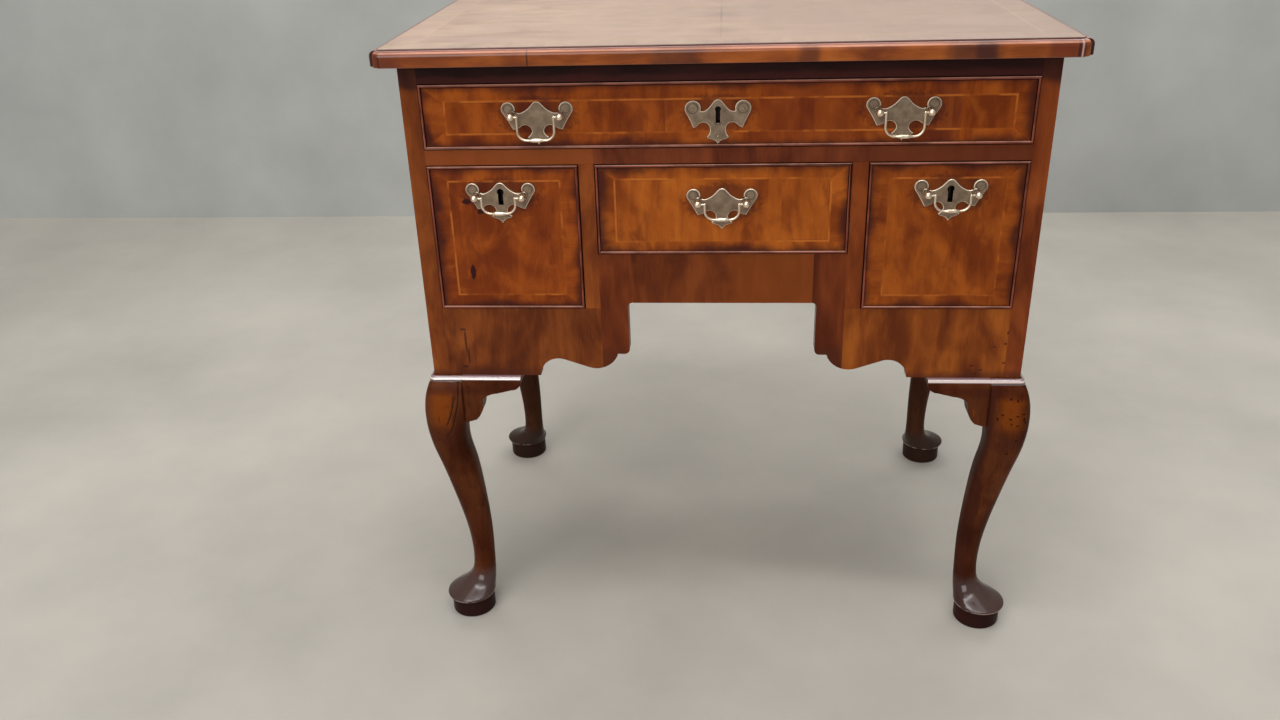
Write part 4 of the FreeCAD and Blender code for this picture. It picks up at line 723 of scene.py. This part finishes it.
long_brass = plate_brass("long_plates_brass", LONG_LEVEL, LONG_MIDDLE, LONG_SPREAD)
deep_brass = plate_brass("deep_plates_brass", DEEP_LEVEL, 0.0, DEEP_SPREAD)
shallow_brass = plate_brass("shallow_plate_brass", SHALLOW_LEVEL)
escutcheon_brass = plate_brass("escutcheon_brass", KEY_LEVEL, LONG_MIDDLE, wing=(26.3, 0.8),
                               ring=5.2, key=KEY_LEVEL)

# Each drawer's veneer, the finish of its plates and the place of its keyhole.
DRAWERS = {
    "long_drawer": (long_veneer, long_brass, LONG_MIDDLE),
    "left_drawer": (left_veneer, deep_brass, -DEEP_SPREAD),
    "centre_drawer": (centre_veneer, shallow_brass, None),
    "right_drawer": (right_veneer, deep_brass, DEEP_SPREAD),
}
VENEER = 1 * MM
KEYHOLE_DEPTH, KEYHOLE_REACH = 20 * MM, 7 * MM


def mark_inside(front, keyhole):
    """Give a drawer front oak behind its veneer, and painted shade inside its keyhole."""
    for face in front.data.polygons:
        behind = face.center.y - CASE_FRONT
        if behind > VENEER:
            in_keyhole = keyhole is not None and behind < KEYHOLE_DEPTH \
                and abs(face.center.x - keyhole * MM) < KEYHOLE_REACH
            face.material_index = 2 if in_keyhole else 1


for drawer, (veneer, brass, keyhole) in DRAWERS.items():
    front = dress(f"{drawer}_front", veneer, oak, keyhole_shade, rules=worn(0.3))
    mark_inside(front, keyhole)
    dress(f"{drawer}_cockbeads", bead, rules=worn(0.15))
    paint(f"{drawer}_box", oak)
    paint(f"{drawer}_bottom", oak)
    plates = f"{drawer}_backplates" if drawer == "long_drawer" else f"{drawer}_backplate"
    dress(plates, brass, rules=worn(0.4), sharp=30.0)
    dress(f"{drawer}_pull_posts", bright_brass, flats=False)
dress("long_drawer_escutcheon", escutcheon_brass, rules=worn(0.4), sharp=30.0)
dress("long_drawer_escutcheon_pins", bright_brass, flats=False)
for node in BODY_OF:
    if node.endswith("bail"):
        dress(node, bright_brass, flats=False)
    if "lock" in node:
        paint(node, lock_iron)


# The top. Its front moulding has dark and reddish stains, one joint, and a quarter round in each
# corner, whose notch is painted dark as shade. Beside the right corner's round, a dark line is
# painted shade and a pale line a painted highlight.

STAIN_AND_SHADE = (52, 20, 18)
NOTCH_X, NOTCH_Y = 352, -230
corner_lines = tuple(("X", corner - 1.4, corner + 1.4, 0.3, STAIN_AND_SHADE, 0.9)
                     for corner in (-NOTCH_X, NOTCH_X))
front_stains_and_painted_light = (("X", -70, -20, 10, STAIN_AND_SHADE, 0.45), ("X", 76, 94, 5, STAIN_AND_SHADE, 0.5),
                ("X", 222, 272, 9, STAIN_AND_SHADE, 0.6), ("X", 248, 268, 4, STAIN_AND_SHADE, 0.6),
                ("X", 318, 346, 4, (96, 36, 16), 0.65), ("X", -372, -330, 9, (92, 36, 20), 0.6),
                ("X", -198.2, -196.6, 0.25, (62, 22, 12), 0.85),
                # A dark line and a pale line beside the right corner's quarter round: painted shade
                # and a painted highlight.
                ("X", 345.6, 348.6, 0.6, STAIN_AND_SHADE, 0.9),
                ("X", 349.2, 351.4, 0.4, (190, 146, 140), 0.8))
notch_line = ("Y", NOTCH_Y - 0.5, NOTCH_Y + 2, 0.3, STAIN_AND_SHADE, 0.9)

dress("top_board", top_veneer("top_veneer"), rules=worn(0.5))
dress("top_front_moulding",
      moulding_walnut("moulding_walnut", "X", 8.0, (134, 65, 18), front_stains_and_painted_light + corner_lines),
      rules=worn(0.4))
dress("top_side_mouldings",
      moulding_walnut("side_moulding_walnut", "Y", 9.0, (118, 56, 26), (notch_line,)),
      rules=worn(0.4))


# The case.

# Painted shade under the overhang of the top.
UNDER_TOP_SHADE = ("Z", 684, 720, 8, (40, 16, 16), 0.85)
STILE_FOOT = ("Z", 340, 356, 5, (70, 30, 18), 0.6)
APRON_FOOT = ("Z", 340, 356, 6, (66, 28, 18), 0.6)

left_crack = ((-300, 408, 4, 1.4), (-298, 393, 1.4, 15), (-296, 373, 1.4, 10), (-301, 360, 4, 1.6))
right_apron_holes = ((320.4, 405.5, 1.5, 2), (318.8, 392, 1.8, 1.5), (306.8, 388, 2.4, 1.1),
                     (320, 368, 2.6, 1.2), (284, 364.4, 3.2, 1), (294, 359, 2.6, 1),
                     (289, 354, 1.4, 0.9))


def dress_front(node, name, *wood, **marks):
    """Give a piece of the case's front a walnut of its own."""
    dress(node, plain_walnut(name, *wood, **marks), rules=front_edges)


dress("left_side_panel",
      plain_walnut("side_walnut", "Z", 11.0, (126, 62, 20), zones=(UNDER_TOP_SHADE, STILE_FOOT)),
      rules=side_edges)
dress("right_side_panel",
      plain_walnut("right_side_walnut", "Z", 11.6, (112, 49, 16), zones=(UNDER_TOP_SHADE, STILE_FOOT)),
      rules=side_edges)
dress_front("left_partition", "left_partition_walnut", "Z", 13.0, (120, 57, 18))
dress_front("right_partition", "right_partition_walnut", "Z", 14.2, (106, 45, 12))
dress_front("left_apron", "left_apron_walnut", "Z", 15.0, (106, 49, 14), 1.2,
            zones=(APRON_FOOT,), spots=left_crack)
dress_front("right_apron", "right_apron_walnut", "Z", 16.1, (120, 57, 14), 1.2,
            zones=(APRON_FOOT,), spots=right_apron_holes)
dress_front("arch_brackets", "bracket_walnut", "Z", 17.0, (94, 38, 10),
            zones=(("Z", 340, 384, 8, (70, 30, 16), 0.5),))
dress_front("centre_apron", "centre_apron_walnut", "Z", 19.0, (98, 42, 11),
            zones=(("X", 10, 120, 20, (136, 67, 18), 0.5),))
# The top rail's near-black tone is partly old dark polish and partly painted shade under the top's
# overhang; the paler band along its middle is painted light between the shade at its top and its
# bottom.
dress_front("top_rail", "top_rail_walnut", "X", 21.0, (38, 11, 9),
            zones=(("Z", 688, 697, 2.5, (66, 26, 22), 0.6),))
dress_front("middle_rail", "middle_rail_walnut", "Z", 23.0, (96, 41, 18),
            zones=(("X", -340, -138, 1, (134, 66, 24), 0.75),
                   ("X", 155, 340, 1, (96, 43, 19), 0.7)))
for node in ("back_board", "drawer_runners", "drawer_stops", "glue_blocks"):
    paint(node, pine)


# The legs. The scroll on the front left knee is two carved lines on its front and two on its outer
# face, given by their places in from the corner of the case and their heights, in millimetres.

SCROLL = (((29.0, 342.0), (28.6, 326.0), (27.0, 313.0), (23.0, 299.5), (20.2, 289.5),
           (16.5, 279.3), (9.5, 273.0)),
          ((23.0, 325.0), (21.2, 313.5), (17.0, 299.5), (12.8, 289.5)))
SCROLL_LOW, SCROLL_HIGH = 262 * MM, 345 * MM
GROOVE_REACH, GROOVE_DEPTH = 1.3 * MM, 0.9 * MM
GROOVE_DARK = 0.55 * GROOVE_REACH
FINE_EDGE = 0.8 * MM
FAR_OFF = 1.0


def to_scroll(in_from_corner, up):
    """How far a place is from the nearest line of the scroll."""
    here = Vector((in_from_corner, up))
    nearest = FAR_OFF
    for line in SCROLL:
        for start, end in zip(line, line[1:]):
            start, end = Vector(start) * MM, Vector(end) * MM
            run = end - start
            share = (here - start).dot(run) / run.length_squared
            nearest = min(nearest, (here - start.lerp(end, max(0.0, min(1.0, share)))).length)
    return nearest


def off_scroll(spot, normal):
    """How far a place on a leg is from the scroll on its front or its outer face."""
    if spot.z < SCROLL_LOW or spot.z > SCROLL_HIGH:
        return FAR_OFF
    if -normal.y > abs(normal.x):
        return to_scroll(SIDE - abs(spot.x), spot.z)
    if normal.x * spot.x > 0:
        return to_scroll(spot.y - CASE_FRONT, spot.z)
    return FAR_OFF


def carve(work):
    """Cut the scroll into the knee, after splitting the faces along it, and shape the foot."""
    for reach in (6 * MM, 3 * MM):
        work.normal_update()
        near = [edge for edge in work.edges if edge.calc_length() > FINE_EDGE
                and min(off_scroll(vert.co, vert.normal) for vert in edge.verts) < reach]
        bmesh.ops.subdivide_edges(work, edges=near, cuts=1)
        bmesh.ops.triangulate(work, faces=[face for face in work.faces if len(face.verts) > 3])
    work.normal_update()
    sunk = []
    for vert in work.verts:
        away = off_scroll(vert.co, vert.normal)
        if away < GROOVE_REACH:
            sunk.append((vert, vert.normal * (-GROOVE_DEPTH * (1 - (away / GROOVE_REACH) ** 2))))
    for face in work.faces:
        if off_scroll(face.calc_center_median(), face.normal) < GROOVE_DARK:
            face.material_index = 2
    for vert, step in sunk:
        vert.co += step
    shape_leg(work)


# Heights on a foot, in millimetres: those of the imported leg, and those of the finished one, whose
# disc is taller and whose pad turns in to meet it.
PACKED_DISC = 12.0
FOOT_HEIGHTS = ((0.0, 0.0), (PACKED_DISC, DISC_TOP), (16.0, 26.2), (24.0, 30.4), (32.0, 36.4),
                (40.0, 42.6), (50.0, 50.0))

# How far in from the corner of the case the middle of a foot is, to the side and to the front or
# the back, in millimetres.
FRONT_FOOT_INSET, BACK_FOOT_INSET = 12.4, 18.9

# The share to which the lower edge of a pad turns in, and the height over which it does.
PAD_TURN = 0.92
PAD_ROUND = 4.5

LEDGE_DEPTH = 6.6 * MM
EAR_LEDGE_DEPTH = 5.6 * MM


def shape_leg(work):
    """Raise the rim of the pad, turn its edge in, and mark the ledge's faces."""
    for vert in work.verts:
        height = vert.co.z / MM
        for (low, new_low), (high, new_high) in zip(FOOT_HEIGHTS, FOOT_HEIGHTS[1:]):
            if low <= height < high:
                raised = new_low + (new_high - new_low) * (height - low) / (high - low)
                if low >= PACKED_DISC and raised < DISC_TOP + PAD_ROUND:
                    turn_in(vert, PAD_TURN + (1 - PAD_TURN) * (raised - DISC_TOP) / PAD_ROUND)
                vert.co.z = raised * MM
                break
    for face in work.faces:
        middle = face.calc_center_median()
        outside = abs(middle.x) > SIDE or middle.y < CASE_FRONT or middle.y > -CASE_FRONT
        if LEG_HEIGHT - LEDGE_DEPTH < middle.z < LEG_HEIGHT + 1 * MM and outside:
            face.material_index = 1


def turn_in(vert, share):
    """Bring a corner of a foot nearer to the foot's middle."""
    inset = (FRONT_FOOT_INSET if vert.co.y < 0 else BACK_FOOT_INSET) * MM
    centre_x = math.copysign(SIDE - inset, vert.co.x)
    centre_y = math.copysign(-CASE_FRONT - inset, vert.co.y)
    vert.co.x = centre_x + (vert.co.x - centre_x) * share
    vert.co.y = centre_y + (vert.co.y - centre_y) * share


def mark_ear(work):
    """Give the rounded upper edge of the ears the ledge's finish, with its painted highlights and
    shade.
    """
    for face in work.faces:
        middle = face.calc_center_median()
        if middle.z > LEG_HEIGHT - EAR_LEDGE_DEPTH and face.normal.z > 0.1:
            face.material_index = 1


worm_holes = ((321.5, 309.1, 1.5, 1.3), (316.3, 303.8, 1.2, 2.2), (331, 303.9, 1.9, 1.3),
              (338.7, 307.4, 2.4, 0.9), (345.7, 310.1, 2, 1.1), (346.5, 303, 1.4, 2.4),
              (348.5, 299, 1.2, 2.4), (332.5, 297.2, 1.2, 1), (339.5, 295.4, 1.8, 1),
              (340.9, 274.9, 2, 1.2), (332.7, 255.9, 1.8, 1.2), (329.5, 327.7, 1.8, 1.5),
              (337.5, 325.6, 1.2, 1.8))
ledge = ledge_walnut("ledge_walnut")
groove = plain_walnut("scroll_walnut", "Z", 26.0, (40, 17, 9))
plain_leg = leg_walnut("leg_walnut")
# On the right front leg, a dark band down the inner side of the knee is painted shade.
right_leg = leg_walnut("right_leg_walnut", zones=(("X", 290, 312, 2.5, (54, 24, 18), 0.6),),
                       spots=worm_holes)
# The back legs get a darker copy of the leg walnut: painted shade from the case above them.
back_leg = leg_walnut("shaded_back_leg_walnut", zones=(("Z", -10, 320, 8, (54, 38, 28), 0.5),),
                      pad_colour=(48, 33, 27), gloss=0.35)

dress("front_left_leg", plain_leg, ledge, groove, flats=False, shape=carve)
dress("front_right_leg", right_leg, ledge, flats=False, shape=shape_leg)
for node in ("back_left_leg", "back_right_leg"):
    dress(node, back_leg, ledge, flats=False, shape=shape_leg)
for node in ("front_leg_ears", "back_leg_ears"):
    dress(node, plain_leg, ledge, rules=worn(0.6), shape=mark_ear)


# Floor and wall.

def concrete(name, tone):
    """Smooth concrete with faint clouds."""
    finish = Finish(name, Roughness=0.7)
    cloud = finish.noise(finish.place, 2.2, 6.0, 0.6)
    light = tuple(part * 1.12 for part in tone)
    dark = tuple(part * 0.86 for part in tone)
    finish.wear(Base_Color=finish.ramp(cloud, (0.3, dark), (0.7, light)))
    return finish


def clear_from_behind(finish):
    """Make a sheet clear from behind, so that it hides nothing there."""
    behind = finish.node("NewGeometry", {}).socket.node.outputs["Backfacing"]
    shown = Wire(finish, finish.shader.outputs["BSDF"])
    either = finish.node("MixShader", {}, Wire(finish, behind), shown,
                         finish.node("BsdfTransparent", {}))
    finish.tree.links.new(either.socket, finish.tree.nodes["Material Output"].inputs["Surface"])


def flat_sheet(name, corners, finish):
    """A sheet of the stage."""
    work = bmesh.new()
    work.faces.new([work.verts.new(corner) for corner in corners])
    mesh = bpy.data.meshes.new(name)
    work.to_mesh(mesh)
    work.free()
    mesh.materials.append(finish.material)
    piece = bpy.data.objects.new(name, mesh)
    bpy.context.scene.collection.objects.link(piece)


FAR = 9.0
WALL_PLACE, WALL_TOP = 1.449, 4.0
flat_sheet("floor", ((-FAR, -FAR, 0), (FAR, -FAR, 0), (FAR, FAR, 0), (-FAR, FAR, 0)),
           concrete("pale_concrete", CONCRETE))
wall_finish = concrete("pale_wall", WALL)
clear_from_behind(wall_finish)
flat_sheet("wall", ((-FAR, WALL_PLACE, 0), (FAR, WALL_PLACE, 0), (FAR, WALL_PLACE, WALL_TOP),
                    (-FAR, WALL_PLACE, WALL_TOP)), wall_finish)


# Lamps, camera and the room's own light.

def lamp(name, place, towards, width, height, radiance):
    """A soft panel of light that faces a point on the middle line."""
    data = bpy.data.lights.new(name, "AREA")
    data.shape = "RECTANGLE"
    data.size, data.size_y = width, height
    data.energy = radiance * math.pi * width * height
    item = bpy.data.objects.new(name, data)
    bpy.context.scene.collection.objects.link(item)
    item.location = place
    aim = Vector((0, 0, towards)) - Vector(place)
    item.rotation_euler = aim.to_track_quat("-Z", "Y").to_euler()
    item.visible_camera = False


TOP_LEVEL, LEG_LEVEL = 0.73, 0.4
lamp("window_panel", (0.1, 1.35, 1.75), TOP_LEVEL, 3.2, 1.2, 2.6)
lamp("overhead_panel", (0.1, -0.5, 4.0), LEG_LEVEL, 3.6, 2.8, 1.4)
lamp("strip_lamp", (-0.2, -0.9, 3.3), LEG_LEVEL, 2.8, 0.3, 9.0)
lamp("front_panel", (-0.9, -2.8, 1.9), LEG_LEVEL, 2.2, 1.8, 4.1)

ROOM_LIGHT = 0.55
world = bpy.data.worlds.new("room")
world.use_nodes = True
world.node_tree.nodes["Background"].inputs["Color"].default_value = (*AIR, 1)
world.node_tree.nodes["Background"].inputs["Strength"].default_value = ROOM_LIGHT
bpy.context.scene.world = world
bpy.context.scene.view_settings.view_transform = "Standard"

CAMERA_PLACE = (0.00355, -1.3480, 0.9154)
CAMERA_TURN, CAMERA_TILT, CAMERA_ROLL = 4.957, 64.30, -1.8717
CAMERA_LENS, CAMERA_WIDTH = 30.42, 36.0
camera = bpy.data.objects.new("camera", bpy.data.cameras.new("camera"))
bpy.context.scene.collection.objects.link(camera)
camera.data.lens = CAMERA_LENS
camera.data.sensor_width = CAMERA_WIDTH
camera.matrix_world = Matrix.Translation(CAMERA_PLACE) \
    @ Matrix.Rotation(math.radians(CAMERA_TURN), 4, "Z") \
    @ Matrix.Rotation(math.radians(CAMERA_TILT), 4, "X") \
    @ Matrix.Rotation(math.radians(CAMERA_ROLL), 4, "Z")
bpy.context.scene.camera = camera

bpy.context.view_layer.update()
